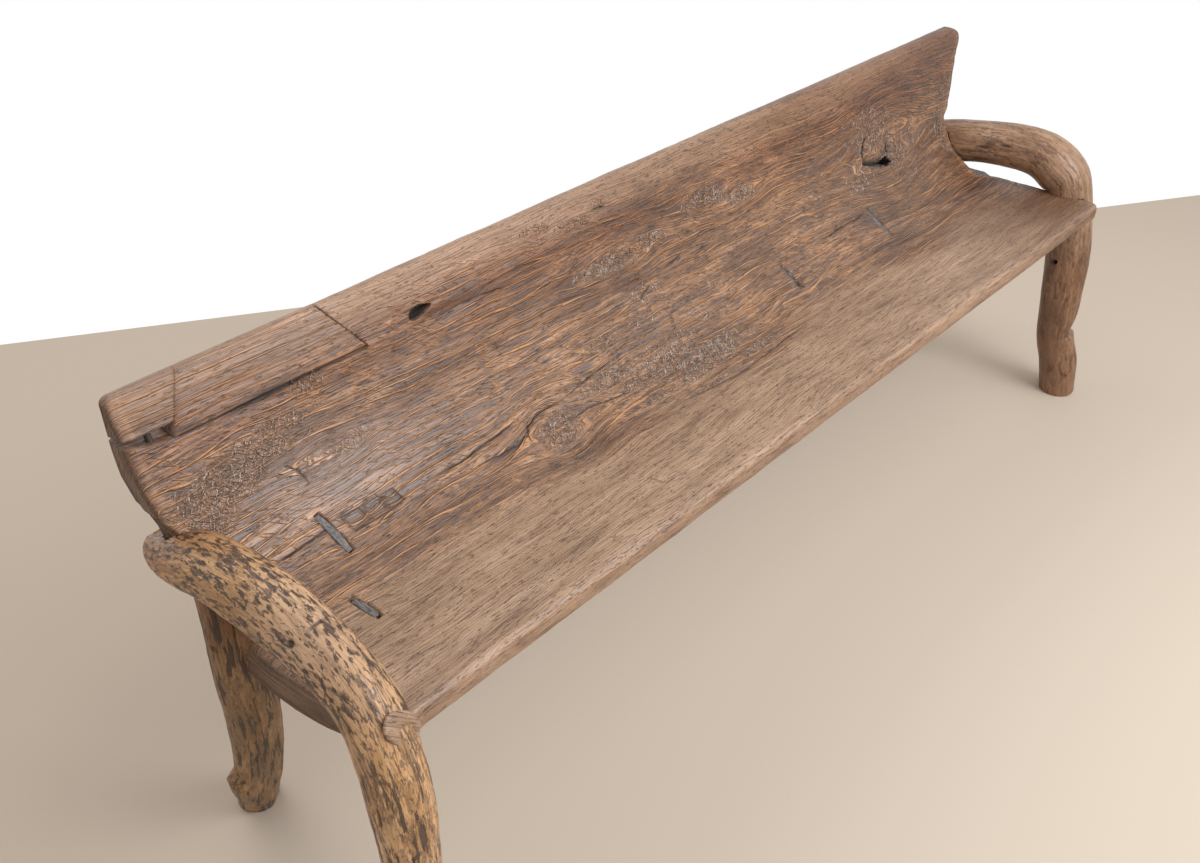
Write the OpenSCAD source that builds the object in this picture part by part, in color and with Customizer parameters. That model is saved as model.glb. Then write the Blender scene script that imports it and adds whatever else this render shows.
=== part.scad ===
// Rustic bench: a slab hollowed from one log, held between two bent branches and two rear legs.
// X runs along the bench, Y from the seat's front edge to the back, Z up from the floor.

/* [Slab] */
// Length of the slab along the front edge of the seat
slab_length = 1778; // [1500:1:2000]
// Height of the sitting surface above the floor
seat_height = 440; // [410:1:470]
// Height of the top of the back above the floor
back_top = 712; // [696:1:740]
// Depth from the seat's front edge to the top of the back at the left end
left_back_depth = 369; // [360:1:378]
// Depth from the seat's front edge to the top of the back at the right end
right_back_depth = 334; // [326:1:344]
// Angle between the seat and the back's rise at the left end
left_back_angle = 70; // [68:1:76]
// Angle between the seat and the back's rise at the right end
right_back_angle = 86; // [82:1:88]
// Radius of the hollow between seat and back at the left end
left_hollow_radius = 187; // [175:1:195]
// Radius of the hollow between seat and back at the right end
right_hollow_radius = 150; // [140:1:160]
// Thickness of the seat's front edge
edge_thickness = 33; // [30:1:42]
// Thickness of the belly under the seat
belly_thickness = 52; // [44:1:58]
// Thickness of the hollow
hollow_thickness = 50; // [40:1:54]
// Thickness of the top of the back at its left end
left_top_thickness = 20; // [18:1:34]
// Thickness of the top of the back at its right end
right_top_thickness = 33; // [28:1:36]
// How far the left end runs outwards from the front edge to the back
left_end_skew = 34; // [0:1:40]
// How far the right end runs inwards from the front edge to the back
right_end_skew = 31; // [0:1:36]
// How far the left end leans inwards from the top of the back down to the arm
left_end_lean = 9; // [4:1:14]
// How far the right end leans inwards from the top of the back down to the arm
right_end_lean = 28; // [16:1:34]
// How much lower the top of the back is at its left end
top_fall = 4; // [0:1:12]
// How far the left front corner sticks out in front of the seat's edge
corner_reach = 14; // [6:1:18]

/* [Branches] */
// Radius of the left arm, which runs on as the left front leg
left_arm_radius = 36; // [33:1:40]
// Radius of the left front leg
left_leg_radius = 34; // [31:1:38]
// Height of the left arm's middle above the seat
left_arm_rise = 84; // [78:1:95]
// Radius of the right arm, which runs on as the right front leg
right_arm_radius = 42; // [38:1:46]
// Radius of the right front leg
right_leg_radius = 34; // [31:1:38]
// Height of the right arm's middle above the seat
right_arm_rise = 64; // [58:1:72]
// Radius of the rear legs
rear_leg_radius = 34; // [30:1:38]
// How far the slab's left end is cut back where the arm crosses it
left_notch_depth = 8; // [4:1:14]
// How far the slab's right end is cut back where the arm crosses it
right_notch_depth = 14; // [6:1:20]

/* [Joints] */
// Gap between two pieces of wood that are fitted together
fit = 0.3; // [0.2:0.1:0.5]
// Diameter of the tenons on top of the rear legs
tenon_diameter = 30; // [26:1:34]
// Length of those tenons inside the arms
tenon_length = 26; // [20:1:30]
// Diameter of the pegs through the joints
peg_diameter = 9; // [7:0.5:10]
// Depth of a peg's head below the wood's surface
peg_recess = 5; // [3:0.5:8]
// Width of the square peg in the left front corner
corner_peg_width = 8; // [6:0.5:10]

/* [Patches] */
// Height of the two patches let into the top left of the back
patch_height = 74; // [60:1:84]
// Length of the end patch along the top
end_patch_length = 90; // [70:1:110]
// Slant of the seam between the two patches
end_seam_slant = 33; // [20:1:40]
// Length of the long patch along the top
long_patch_length = 178; // [140:1:220]
// Slant of the long patch's far seam
long_seam_slant = 56; // [40:1:70]
// Height of the open wedge under the end patch where it meets the long patch
patch_gap = 17; // [8:1:20]
// Diameter of the hidden dowels under the patches
dowel_diameter = 8; // [6:0.5:10]
// Length of those dowels
dowel_length = 44; // [36:1:54]

/* [Keys] */
// Width of the keys let into the seat across its splits
key_width = 11; // [8:0.5:14]
// Depth of the keys in the seat
key_depth = 14; // [10:0.5:18]
// Length of the left long key
left_long_key_length = 60; // [50:1:70]
// Length of the left short key
left_short_key_length = 38; // [30:1:46]
// Length of the right long key
right_long_key_length = 66; // [56:1:76]
// Length of the right short key
right_short_key_length = 53; // [44:1:62]

/* [Knots] */
// Length of the open knot hole in the back
knot_length = 38; // [24:1:50]
// Height of the open knot hole in the back
knot_height = 13; // [8:1:18]
// Length of the hole in the burl near the right end
burl_length = 24; // [14:1:32]
// Height of the hole in the burl
burl_height = 11; // [6:1:16]

/* [Hidden] */

half_length = slab_length / 2;
// Beyond every cut face, so that no cut ends on a face
over = 2;
// Depth from the seat's front edge to the top of the back at the end on a side (-1 left, 1 right)
function end_depth(side) = side < 0 ? left_back_depth : right_back_depth;
// Larger than any piece
huge = 3 * slab_length;
round_sides = 32;

function mix(a, b, t) = a + (b - a) * t;
// Smooth step from 0 to 1 as t goes from 0 to 1
function ease(t) = let (u = min(max(t, 0), 1)) u * u * (3 - 2 * u);
function unit(v) = v / norm(v);

// The slab's section at a place x along the bench

// Rounding of the seat's front edge, and roundness of both long edges: 1 is a half circle, less is squarer
edge_rounding = 16;
front_softness = 0.62;
top_softness = 0.85;
// Steps along the parts of the section, and stations along the slab
round_steps = 8;
flat_steps = 6;
hollow_steps = 12;
back_steps = 4;
slab_steps = 14;
// Where the belly hangs lowest, and where the wood is thin again
belly_depth = 112;
thin_depth = 210;
// Length of the left end over which its front corner comes forward
corner_run = 60;

function along(x) = (x + half_length) / slab_length;
function back_angle(x) = mix(left_back_angle, right_back_angle, along(x));
function back_depth(x) = mix(left_back_depth, right_back_depth, along(x));
function top_height(x) = back_top - top_fall * (1 - ease(2 * along(x)));
function top_thickness(x) = mix(left_top_thickness, right_top_thickness, along(x));
function front_edge(x) = -corner_reach * ease((corner_run - half_length - x) / corner_run);
// Depth of the back's front face at a height z, and depth at which the flat of the seat ends
function back_line(x, z) = back_depth(x) - (back_top - z) / tan(back_angle(x));
function hollow_radius(x) = mix(left_hollow_radius, right_hollow_radius, along(x));
// The hollow's circle touches the seat and the back's line
function flat_depth(x) = let (a = back_angle(x), r = hollow_radius(x))
    back_line(x, seat_height) - r * tan(a / 2);
// Thickness below the sitting surface at a depth y
function thickness(y) = y < belly_depth
    ? mix(edge_thickness, belly_thickness, ease(y / belly_depth))
    : mix(belly_thickness, hollow_thickness, ease((y - belly_depth) / (thin_depth - belly_depth)));

// Angle and height of the sitting surface at a place x and a depth y of the flat or the hollow
function surface_angle(x, y) = asin(max(0, y - flat_depth(x)) / hollow_radius(x));
function surface_height(x, y) = seat_height + hollow_radius(x) * (1 - cos(surface_angle(x, y)));

// Stations from the front edge to the top: point, direction into the wood, thickness
function flat_station(y) = [[y, seat_height], [0, -1], thickness(y)];
function hollow_station(x, a) = let (r = hollow_radius(x), y = flat_depth(x) + r * sin(a))
    [[y, seat_height + r * (1 - cos(a))], [sin(a), -cos(a)], thickness(y)];
function back_station(x, z, t) = let (a = back_angle(x))
    [[back_line(x, z), z], [sin(a), -cos(a)], mix(hollow_thickness, top_thickness(x), t * t)];
function stations(x) = let (
    front = front_edge(x) + edge_rounding,
    rise_angle = back_angle(x),
    hollow_top = hollow_station(x, rise_angle)[0][1],
    rise_top = top_height(x) - top_thickness(x) / 2)
    concat(
        [for (i = [0:flat_steps - 1]) flat_station(mix(front, flat_depth(x), i / flat_steps))],
        [for (i = [0:hollow_steps]) hollow_station(x, rise_angle * i / hollow_steps)],
        [for (i = [1:back_steps])
            back_station(x, mix(hollow_top, rise_top, i / back_steps), i / back_steps)]);

// Rounded edge from one side of the slab to the other, bulging along a direction
function rounded_edge(from, to, out, bulge, softness) = let (
    middle = (from + to) / 2,
    half = (from - to) / 2)
    [for (i = [1:round_steps - 1]) let (a = 180 * i / round_steps)
        middle + half * sign(cos(a)) * pow(abs(cos(a)), softness) + out * bulge * pow(sin(a), softness)];

// Outline of the slab's section, larger by grow on every side
function slab_section(x, grow) = let (
    rows = stations(x),
    last = len(rows) - 1,
    inner = [for (s = rows) s[0] - s[1] * grow],
    outer = [for (s = rows) s[0] + s[1] * (s[2] + grow)],
    up = [cos(back_angle(x)), sin(back_angle(x))])
    concat(
        inner,
        rounded_edge(inner[last], outer[last], up, top_thickness(x) / 2 + grow, top_softness),
        [for (i = [last:-1:0]) outer[i]],
        rounded_edge(outer[0], inner[0], [-1, 0], edge_rounding + grow, front_softness));

// Solid skin over rings of points. Points k and fold - k of a ring lie opposite each other, which
// divides the end faces into strips
module ring_solid(rings, fold) {
    n = len(rings[0]);
    last = len(rings) - 1;
    cap = [for (k = [(fold - n) / 2:fold / 2 - 1]) each [
        if (k > (fold - n) / 2) [k, k + 1, fold - k],
        if (k < fold / 2 - 1) [k + 1, fold - k - 1, fold - k]]];
    polyhedron(
        points = [for (r = rings) each r],
        faces = concat(
            [for (f = cap) [for (m = [2:-1:0]) (f[m] + n) % n]],
            [for (i = [0:last - 1], k = [0:n - 1]) let (j = (k + 1) % n)
                [i * n + k, i * n + j, (i + 1) * n + k]],
            [for (i = [0:last - 1], k = [0:n - 1]) let (j = (k + 1) % n)
                [i * n + j, (i + 1) * n + j, (i + 1) * n + k]],
            [for (f = cap) [for (m = [0:2]) last * n + (f[m] + n) % n]]),
        convexity = 6);
}

// The hollowed log, longer than the slab at both ends
log_end = half_length + 2 * left_end_skew + over;
slab_stations = concat(
    [-log_end, -half_length - over, -half_length + corner_run / 3, -half_length + corner_run * 2 / 3],
    [for (i = [0:slab_steps]) mix(-half_length + corner_run, half_length, i / slab_steps)],
    [log_end]);
module hollow_log(grow) {
    fold = 2 * (flat_steps + hollow_steps + back_steps) + round_steps;
    ring_solid([for (x = slab_stations) [for (p = slab_section(x, grow)) [x, p[0], p[1]]]], fold);
}

// Ends of the slab, seen from the front and from above
left_corner_radius = 16;
right_corner_radius = 30;
front_corner_radius = 10;
left_back_x = -half_length - left_end_skew;
right_back_x = half_length - right_end_skew;
// Band of heights in which the arms cross the slab's ends
notch_start = 3;
notch_rise = 106;
notch_low = seat_height + notch_start;
notch_high = seat_height + notch_rise;
notch_front = right_back_depth / 2;
// Share of the height from the notch to the back's top at which the left end starts to lean
lean_start = 0.35;

function corner(centre, r, from, to) = [for (i = [0:round_steps])
    let (a = mix(from, to, i / round_steps)) centre + r * [cos(a), sin(a)]];

// The slab's outline from the front
function front_view(grow) = concat(
    [[left_back_x - grow, mix(notch_high, back_top, lean_start)]],
    [[left_back_x + left_end_lean - grow, notch_high - grow],
        [left_back_x - left_end_skew, notch_high - grow - over]],
    [[left_back_x - left_end_skew, 0], [half_length + right_end_skew, 0]],
    [[half_length + right_end_skew, notch_high - grow - over],
        [right_back_x - right_end_lean + grow, notch_high - grow]],
    corner([right_back_x - right_corner_radius, back_top - right_corner_radius],
        right_corner_radius + grow, 0, 90),
    [[0, back_top + over]],
    corner([left_back_x + left_corner_radius, back_top - top_fall - left_corner_radius],
        left_corner_radius + grow, 90, 180));

// The slab's outline from above
function top_view(grow) = let (rear = left_back_depth + 2 * hollow_thickness) concat(
    corner([-half_length + front_corner_radius, front_corner_radius - corner_reach],
        front_corner_radius + grow, 180, 270),
    corner([half_length - front_corner_radius, front_corner_radius - corner_reach],
        front_corner_radius + grow, 270, 360),
    [[right_back_x + grow, right_back_depth], [right_back_x + grow, rear]],
    [[left_back_x - grow, rear], [left_back_x - grow, right_back_depth]]);

module upright_prism(points) {
    rotate([90, 0, 0])
        linear_extrude(height = huge, center = true)
            polygon(points);
}

// Floor of the notch on a side
function notch_floor(side) = side < 0
    ? left_back_x + left_end_lean + left_notch_depth
    : right_back_x - right_end_lean - right_notch_depth;

// The notches that take the arms across the hollow's ends
module arm_notches(grow) {
    for (x = [notch_floor(-1) - grow - huge, notch_floor(1) + grow])
        translate([x, notch_front, notch_low + grow])
            cube([huge, huge, notch_high - notch_low - 2 * grow]);
}

// The whole slab before the patches are let in
module slab_body(grow = 0) {
    difference() {
        intersection() {
            hollow_log(grow);
            upright_prism(front_view(grow));
            linear_extrude(height = huge, center = true)
                polygon(top_view(grow));
        }
        arm_notches(grow);
    }
}

// Patches in the top left of the back
patch_floor = back_top - patch_height;
end_seam_top = left_back_x + end_patch_length;
end_seam_foot = end_seam_top - end_seam_slant;
long_seam_top = end_seam_top + long_patch_length;
long_seam_foot = long_seam_top + long_seam_slant;
end_x = left_back_x - over;
above = back_top + over;
// Share of the wedge that is left open at the slab's end
gap_share = 0.15;
wedge_rise = patch_gap * (1 - gap_share);

// The rebate in the slab that takes both patches
module patch_rebate() {
    upright_prism([
        [end_x, patch_floor + wedge_rise],
        [end_seam_foot - patch_gap / 2, patch_floor],
        [long_seam_foot, patch_floor],
        [long_seam_top, above],
        [end_x, above]]);
}

module back_end_patch() {
    color("peru") difference() {
        intersection() {
            slab_body();
            upright_prism([
                [end_x, patch_floor + patch_gap],
                [mix(end_seam_foot, end_seam_top, patch_gap / patch_height) - fit, patch_floor + patch_gap],
                [end_seam_top - fit, above],
                [end_x, above]]);
        }
        dowels(fit);
    }
}

module back_long_patch() {
    color("peru") difference() {
        intersection() {
            slab_body();
            upright_prism([
                [end_seam_foot, patch_floor + fit],
                [long_seam_foot - fit, patch_floor + fit],
                [long_seam_top - fit, above],
                [end_seam_top, above]]);
        }
        dowels(fit);
    }
}

// Hidden dowels that stand half in the slab and half in the patches, this far behind the front face
dowel_inset = 15;
function dowel_y(x) = back_line(x, patch_floor) + dowel_inset / sin(back_angle(x));
dowel_places = [
    [mix(left_back_x, end_seam_foot, 0.6), patch_floor + patch_gap / 2],
    [mix(end_seam_foot, long_seam_foot, 0.2), patch_floor],
    [mix(end_seam_foot, long_seam_foot, 0.75), patch_floor]];

module dowels(grow = 0) {
    for (place = dowel_places)
        translate([place[0], dowel_y(place[0]), place[1]])
            rotate([back_angle(place[0]) - 90, 0, 0])
                cylinder(d = dowel_diameter + 2 * grow, h = dowel_length + 2 * grow, center = true,
                    $fn = round_sides);
}

module patch_dowels() {
    color("burlywood") dowels();
}

// Keys across the seat's splits: place along the bench and depth of their middle
left_long_key_place = [-half_length + 144, 256];
left_short_key_place = [-half_length + 110, 163];
right_long_key_place = [half_length - 422, 246];
right_short_key_place = [half_length - 702, 244];
// How far each key is turned from square to the bench
left_long_key_turn = 10;
left_short_key_turn = 8;
right_long_key_turn = -2;
right_short_key_turn = 0;
// Keys stand a little below the worn surface
key_recess = 0.5;

// A key's mortise, or the block that the key is cut from, higher than the surface
module key_block(place, turn, length, grow = 0) {
    translate([place[0], place[1], surface_height(place[0], place[1])])
        rotate([surface_angle(place[0], place[1]), 0, 0])
            rotate([0, 0, turn])
                translate([-key_width / 2 - grow, -length / 2 - grow, -key_depth - grow])
                    cube([key_width + 2 * grow, length + 2 * grow, 2 * key_depth + grow]);
}

module key(place, turn, length) {
    color("slategray") intersection() {
        key_block(place, turn, length);
        hollow_log(-key_recess);
    }
}

module left_long_key() {
    key(left_long_key_place, left_long_key_turn, left_long_key_length);
}
module left_short_key() {
    key(left_short_key_place, left_short_key_turn, left_short_key_length);
}
module right_long_key() {
    key(right_long_key_place, right_long_key_turn, right_long_key_length);
}
module right_short_key() {
    key(right_short_key_place, right_short_key_turn, right_short_key_length);
}

// Open knots: an oval hole square to the sitting surface
knot_drop = 62;
knot_place = [-half_length + 376, back_top - knot_drop];
burl_place = [half_length - 323, right_back_depth - 30];

function oval(length, height) = [for (i = [0:round_sides - 1]) let (a = 360 * i / round_sides)
    [cos(a) * length / 2, sin(a) * height / 2]];

module back_knot() {
    translate([knot_place[0], left_back_depth, knot_place[1]])
        rotate([90, 0, 0])
            linear_extrude(height = 4 * hollow_thickness, center = true)
                polygon(oval(knot_length, knot_height));
}
module burl_knot() {
    translate([burl_place[0], burl_place[1], surface_height(burl_place[0], burl_place[1])])
        rotate([surface_angle(burl_place[0], burl_place[1]), 0, 0])
            linear_extrude(height = 3 * hollow_thickness, center = true)
                polygon(oval(burl_length, burl_height));
}

module seat_back_slab() {
    color("sienna") difference() {
        slab_body();
        patch_rebate();
        dowels(fit);
        key_block(left_long_key_place, left_long_key_turn, left_long_key_length, fit);
        key_block(left_short_key_place, left_short_key_turn, left_short_key_length, fit);
        key_block(right_long_key_place, right_long_key_turn, right_long_key_length, fit);
        key_block(right_short_key_place, right_short_key_turn, right_short_key_length, fit);
        back_knot();
        burl_knot();
        left_leg_peg_line(peg_diameter + 2 * fit, fit);
        arm_peg_line(-1, peg_diameter + 2 * fit, fit);
        arm_peg_line(1, peg_diameter + 2 * fit, fit);
        corner_peg_line(corner_peg_width + 2 * fit, fit);
    }
}

// Branches: a smooth curve through control points, each with its radius
branch_sides = 16;
branch_rings = 34;
leg_rings = 20;
// How far a branch's section is out of round
unevenness = 0.03;

function place_of(q) = [q[0], q[1], q[2]];
function spline(p, t) = let (
    n = len(p) - 1,
    i = min(floor(t), n - 1),
    u = t - i,
    a = p[max(i - 1, 0)],
    b = p[i],
    c = p[i + 1],
    d = p[min(i + 2, n)])
    b + (c - a) * u / 2 + (2 * a - 5 * b + 4 * c - d) * u * u / 2 + (3 * b - a - 3 * c + d) * u * u * u / 2;

// Direction of the curve; the last ring lies flat on the floor
function direction(p, t) = let (n = len(p) - 1, step = 0.02)
    t >= n ? [0, 0, -1]
    : unit(place_of(spline(p, min(t + step, n)) - spline(p, max(t - step, 0))));
function uneven(a, t) = 1 + unevenness * (sin(2 * a + 70 * t) + sin(3 * a - 110 * t) / 2);
function branch_ring(p, t, grow) = let (
    q = spline(p, t),
    ahead = direction(p, t),
    up = unit(cross([1, 0, 0], ahead)),
    side = cross(ahead, up))
    [for (k = [0:branch_sides - 1]) let (a = 360 * k / branch_sides)
        place_of(q) + (q[3] * uneven(a, t) + grow) * (side * cos(a) + up * sin(a))];
function branch_skin(p, rings, grow = 0) =
    [for (i = [0:rings]) branch_ring(p, (len(p) - 1) * i / rings, grow)];

// Rows of a route: outwards from the end, share of the depth, share of the height, share of the radius
function arm_rows(side, rise, radius, rows) = [for (w = rows)
    [side * (half_length + w[0]), w[1] * end_depth(side), seat_height + w[2] * rise, w[3] * radius]];
function leg_rows(side, radius, rows) = [for (w = rows)
    [side * (half_length + w[0]), w[1] * end_depth(side), w[2] * seat_height, w[3] * radius]];

left_branch = concat(
    arm_rows(-1, left_arm_rise, left_arm_radius, [
        [5, 0.996, 0.58, 0.80],
        [12, 0.869, 0.79, 0.92],
        [13, 0.652, 1.08, 1.0],
        [7, 0.416, 1.05, 1.02],
        [4, 0.208, 0.86, 1.0],
        [4, 0.045, 0.50, 0.98]]),
    leg_rows(-1, left_leg_radius, [
        [6, -0.045, 0.96, 1.02],
        [8, -0.081, 0.80, 0.97],
        [8, -0.081, 0.60, 0.93],
        [8, -0.072, 0.30, 0.86],
        [10, -0.063, 0, 0.84]]));
right_branch = concat(
    arm_rows(1, right_arm_rise, right_arm_radius, [
        [-46, 1.15, 0.50, 0.90],
        [-44, 0.98, 0.74, 0.97],
        [-30, 0.71, 0.97, 0.975],
        [-17, 0.44, 0.955, 1.02],
        [-16, 0.285, 0.60, 1.09]]),
    leg_rows(1, right_leg_radius, [
        [-8, 0.21, 1.0, 1.28],
        [-8, 0.14, 0.74, 1.26],
        [-14, 0.11, 0.47, 1.10],
        [-14, 0.10, 0.31, 0.96],
        [4, 0.06, 0.16, 1.04],
        [17, 0.04, 0, 1.04]]));

// The control point of each arm that stands on its rear leg
left_leg_seat = left_branch[2];
right_leg_seat = right_branch[1];
// A rear leg's top end, thinner than the arm it stands under
leg_top_share = 0.9;
function leg_top(seat) = [seat[0], seat[1], seat[2], rear_leg_radius * leg_top_share];
left_rear = concat([leg_top(left_leg_seat)], leg_rows(-1, rear_leg_radius, [
    [14, 0.634, 1.07, 0.96],
    [10, 0.67, 0.87, 0.96],
    [1, 0.715, 0.67, 0.94],
    [-9, 0.797, 0.44, 0.91],
    [-21, 0.914, 0.22, 0.90],
    [-39, 1.059, 0, 0.87]]));
right_rear = concat([leg_top(right_leg_seat)], leg_rows(1, rear_leg_radius, [
    [-42, 0.99, 1.0, 0.96],
    [-40, 1.00, 0.87, 0.96],
    [-38, 1.03, 0.67, 0.95],
    [-39, 1.07, 0.44, 0.94],
    [-40, 1.12, 0.22, 0.95],
    [-42, 1.17, 0, 0.90]]));

// Tenon on top of a rear leg, upright under the arm's middle
module tenon(seat, grow = 0) {
    translate([seat[0], seat[1], seat[2] - seat[3] - tenon_length])
        cylinder(d = tenon_diameter + 2 * grow, h = 2 * tenon_length + grow, $fn = round_sides);
}

// Peg along X from the left rear leg's outer side into the slab's end, clear above the notch's floor
leg_peg_forward = 8;
leg_peg_clear = 2;
leg_peg_y = left_rear[1][1] - leg_peg_forward;
leg_peg_height = notch_low + fit + peg_diameter / 2 + leg_peg_clear;
leg_peg_reach = 46;
leg_peg_outer = abs(left_rear[2][0]) + rear_leg_radius;
module left_leg_peg_line(diameter, past) {
    from = half_length - leg_peg_reach - past;
    translate([-from, leg_peg_y, leg_peg_height])
        rotate([0, -90, 0])
            cylinder(d = diameter, h = leg_peg_outer - from + (past > 0 ? over : -peg_recess),
                $fn = round_sides);
}
module left_rear_leg_peg() {
    color("saddlebrown") left_leg_peg_line(peg_diameter, 0);
}

// Peg along X from the right arm's outer side through the rear leg's tenon
tenon_peg_share = 0.55;
tenon_peg_past = 2;
tenon_peg_height = right_leg_seat[2] - right_leg_seat[3] + tenon_length * tenon_peg_share;
tenon_peg_outer = right_leg_seat[0] + right_leg_seat[3];
module right_tenon_peg_line(diameter, past) {
    from = right_leg_seat[0] - tenon_diameter / 2 - tenon_peg_past - past;
    translate([from, right_leg_seat[1], tenon_peg_height])
        rotate([0, 90, 0])
            cylinder(d = diameter, h = tenon_peg_outer - from + (past > 0 ? over : -2 * peg_recess),
                $fn = round_sides);
}
module right_rear_leg_peg() {
    color("saddlebrown") right_tenon_peg_line(peg_diameter, 0);
}

// Pegs that run askew from an arm's inner side through its cheek into the slab's hollow
arm_peg_angle = 20;
arm_peg_length = 44;
// Place of each peg's head: inwards from the notch's floor, forwards from the back's top, above the seat
left_arm_peg_head = [22, 87, 52];
right_arm_peg_head = [10, 48, 48];
function arm_peg_start(side) = let (head = side < 0 ? left_arm_peg_head : right_arm_peg_head)
    [notch_floor(side) - side * head[0], end_depth(side) - head[1], seat_height + head[2]];
module arm_peg_line(side, diameter, past) {
    translate(arm_peg_start(side))
        rotate([0, 0, -side * arm_peg_angle])
            rotate([-90, 0, 0])
                translate([0, 0, past > 0 ? -4 * peg_recess : 0])
                    cylinder(d = diameter, h = arm_peg_length + past + (past > 0 ? 4 * peg_recess : 0),
                        $fn = round_sides);
}
module left_arm_peg() {
    color("saddlebrown") arm_peg_line(-1, peg_diameter, 0);
}
module right_arm_peg() {
    color("saddlebrown") arm_peg_line(1, peg_diameter, 0);
}

// Square peg down through the left arm into the slab's front corner, leaning forwards at its head
corner_peg_place = [-half_length + 16, 3, seat_height - edge_thickness / 2];
corner_peg_lean = 18;
corner_peg_up = 62;
corner_peg_down = 34;
module corner_peg_line(width, past) {
    translate(corner_peg_place)
        rotate([corner_peg_lean, 0, 0])
            translate([-width / 2, -width / 2, -corner_peg_down - past])
                cube([width, width, corner_peg_down + corner_peg_up + past + (past > 0 ? left_arm_rise : 0)]);
}
module left_corner_peg() {
    color("saddlebrown") corner_peg_line(corner_peg_width, 0);
}

// Old empty hole in the right front leg
old_hole_drop = 132;
old_hole_place = [half_length - 36, 51, seat_height - old_hole_drop];
old_hole_depth = 30;
module old_hole() {
    translate(old_hole_place)
        rotate([0, 90, 0])
            cylinder(d = peg_diameter, h = 2 * old_hole_depth, center = true, $fn = round_sides);
}

// Knot stub low on the left rear leg, pointing out and back, and its place along the leg's control points
stub_height = 119;
stub_row = 4.95;
stub_heading = 132;
stub_length = rear_leg_radius + 8;
stub_root = 28;
stub_tip = 8;
module knot_stub() {
    middle = spline(left_rear, stub_row);
    translate([middle[0], middle[1], stub_height])
        rotate([0, 0, stub_heading])
            rotate([0, 90, 0])
                cylinder(r1 = stub_root, r2 = stub_tip, h = stub_length, $fn = round_sides);
}

module left_arm_front_leg() {
    color("tan") difference() {
        ring_solid(branch_skin(left_branch, branch_rings), branch_sides);
        slab_body(fit);
        tenon(left_leg_seat, fit);
        arm_peg_line(-1, peg_diameter + 2 * fit, fit);
        corner_peg_line(corner_peg_width + 2 * fit, fit);
    }
}
module right_arm_front_leg() {
    color("rosybrown") difference() {
        ring_solid(branch_skin(right_branch, branch_rings), branch_sides);
        slab_body(fit);
        tenon(right_leg_seat, fit);
        right_tenon_peg_line(peg_diameter + 2 * fit, fit);
        arm_peg_line(1, peg_diameter + 2 * fit, fit);
        old_hole();
    }
}
module left_rear_leg() {
    color("tan") difference() {
        union() {
            difference() {
                union() {
                    ring_solid(branch_skin(left_rear, leg_rings), branch_sides);
                    knot_stub();
                }
                ring_solid(branch_skin(left_branch, branch_rings, fit), branch_sides);
            }
            tenon(left_leg_seat);
        }
        slab_body(fit);
        left_leg_peg_line(peg_diameter + 2 * fit, fit);
    }
}
module right_rear_leg() {
    color("rosybrown") difference() {
        union() {
            difference() {
                ring_solid(branch_skin(right_rear, leg_rings), branch_sides);
                ring_solid(branch_skin(right_branch, branch_rings, fit), branch_sides);
            }
            tenon(right_leg_seat);
        }
        slab_body(fit);
        right_tenon_peg_line(peg_diameter + 2 * fit, fit);
    }
}

// The origin lies on the floor under the middle of the whole bench
reach = [
    for (ring = concat(branch_skin(left_branch, branch_rings), branch_skin(right_branch, branch_rings),
        branch_skin(left_rear, leg_rings), branch_skin(right_rear, leg_rings))) each ring];
function middle_of(k) = let (v = [for (p = reach) p[k]]) (min(v) + max(v)) / 2;
middle_x = middle_of(0);
middle_y = middle_of(1);
module centred() {
    translate([-middle_x, -middle_y, 0])
        children();
}

centred() seat_back_slab();
centred() back_end_patch();
centred() back_long_patch();
centred() patch_dowels();
centred() left_arm_front_leg();
centred() right_arm_front_leg();
centred() left_rear_leg();
centred() right_rear_leg();
centred() left_long_key();
centred() left_short_key();
centred() right_long_key();
centred() right_short_key();
centred() left_rear_leg_peg();
centred() right_rear_leg_peg();
centred() left_arm_peg();
centred() right_arm_peg();
centred() left_corner_peg();
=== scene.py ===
import math
import bmesh
import bpy
import numpy as np
from mathutils import Matrix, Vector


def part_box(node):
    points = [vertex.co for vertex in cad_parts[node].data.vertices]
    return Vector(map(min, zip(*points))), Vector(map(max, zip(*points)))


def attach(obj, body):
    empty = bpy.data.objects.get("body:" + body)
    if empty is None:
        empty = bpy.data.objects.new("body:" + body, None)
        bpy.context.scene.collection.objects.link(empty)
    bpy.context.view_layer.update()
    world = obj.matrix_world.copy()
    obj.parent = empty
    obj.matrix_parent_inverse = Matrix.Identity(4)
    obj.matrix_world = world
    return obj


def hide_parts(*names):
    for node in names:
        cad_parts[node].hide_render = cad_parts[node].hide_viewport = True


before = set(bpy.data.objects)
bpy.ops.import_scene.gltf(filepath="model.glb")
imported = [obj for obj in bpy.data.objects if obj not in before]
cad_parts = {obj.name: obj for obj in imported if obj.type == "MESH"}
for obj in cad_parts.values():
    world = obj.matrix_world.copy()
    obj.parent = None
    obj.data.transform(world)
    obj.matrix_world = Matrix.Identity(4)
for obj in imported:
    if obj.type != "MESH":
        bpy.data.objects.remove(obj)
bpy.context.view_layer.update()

# ------------------------------------------------ camera
IMAGE_WIDTH = 1200
FOCAL_PIXELS = 1217
SENSOR_WIDTH = 36.0
CAMERA_PLACE = (-1.36709, -0.90762, 1.387)
CAMERA_HEADING = math.radians(42.04)
CAMERA_PITCH = math.radians(34.32)
CAMERA_ROLL = math.radians(0.41)


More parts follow.
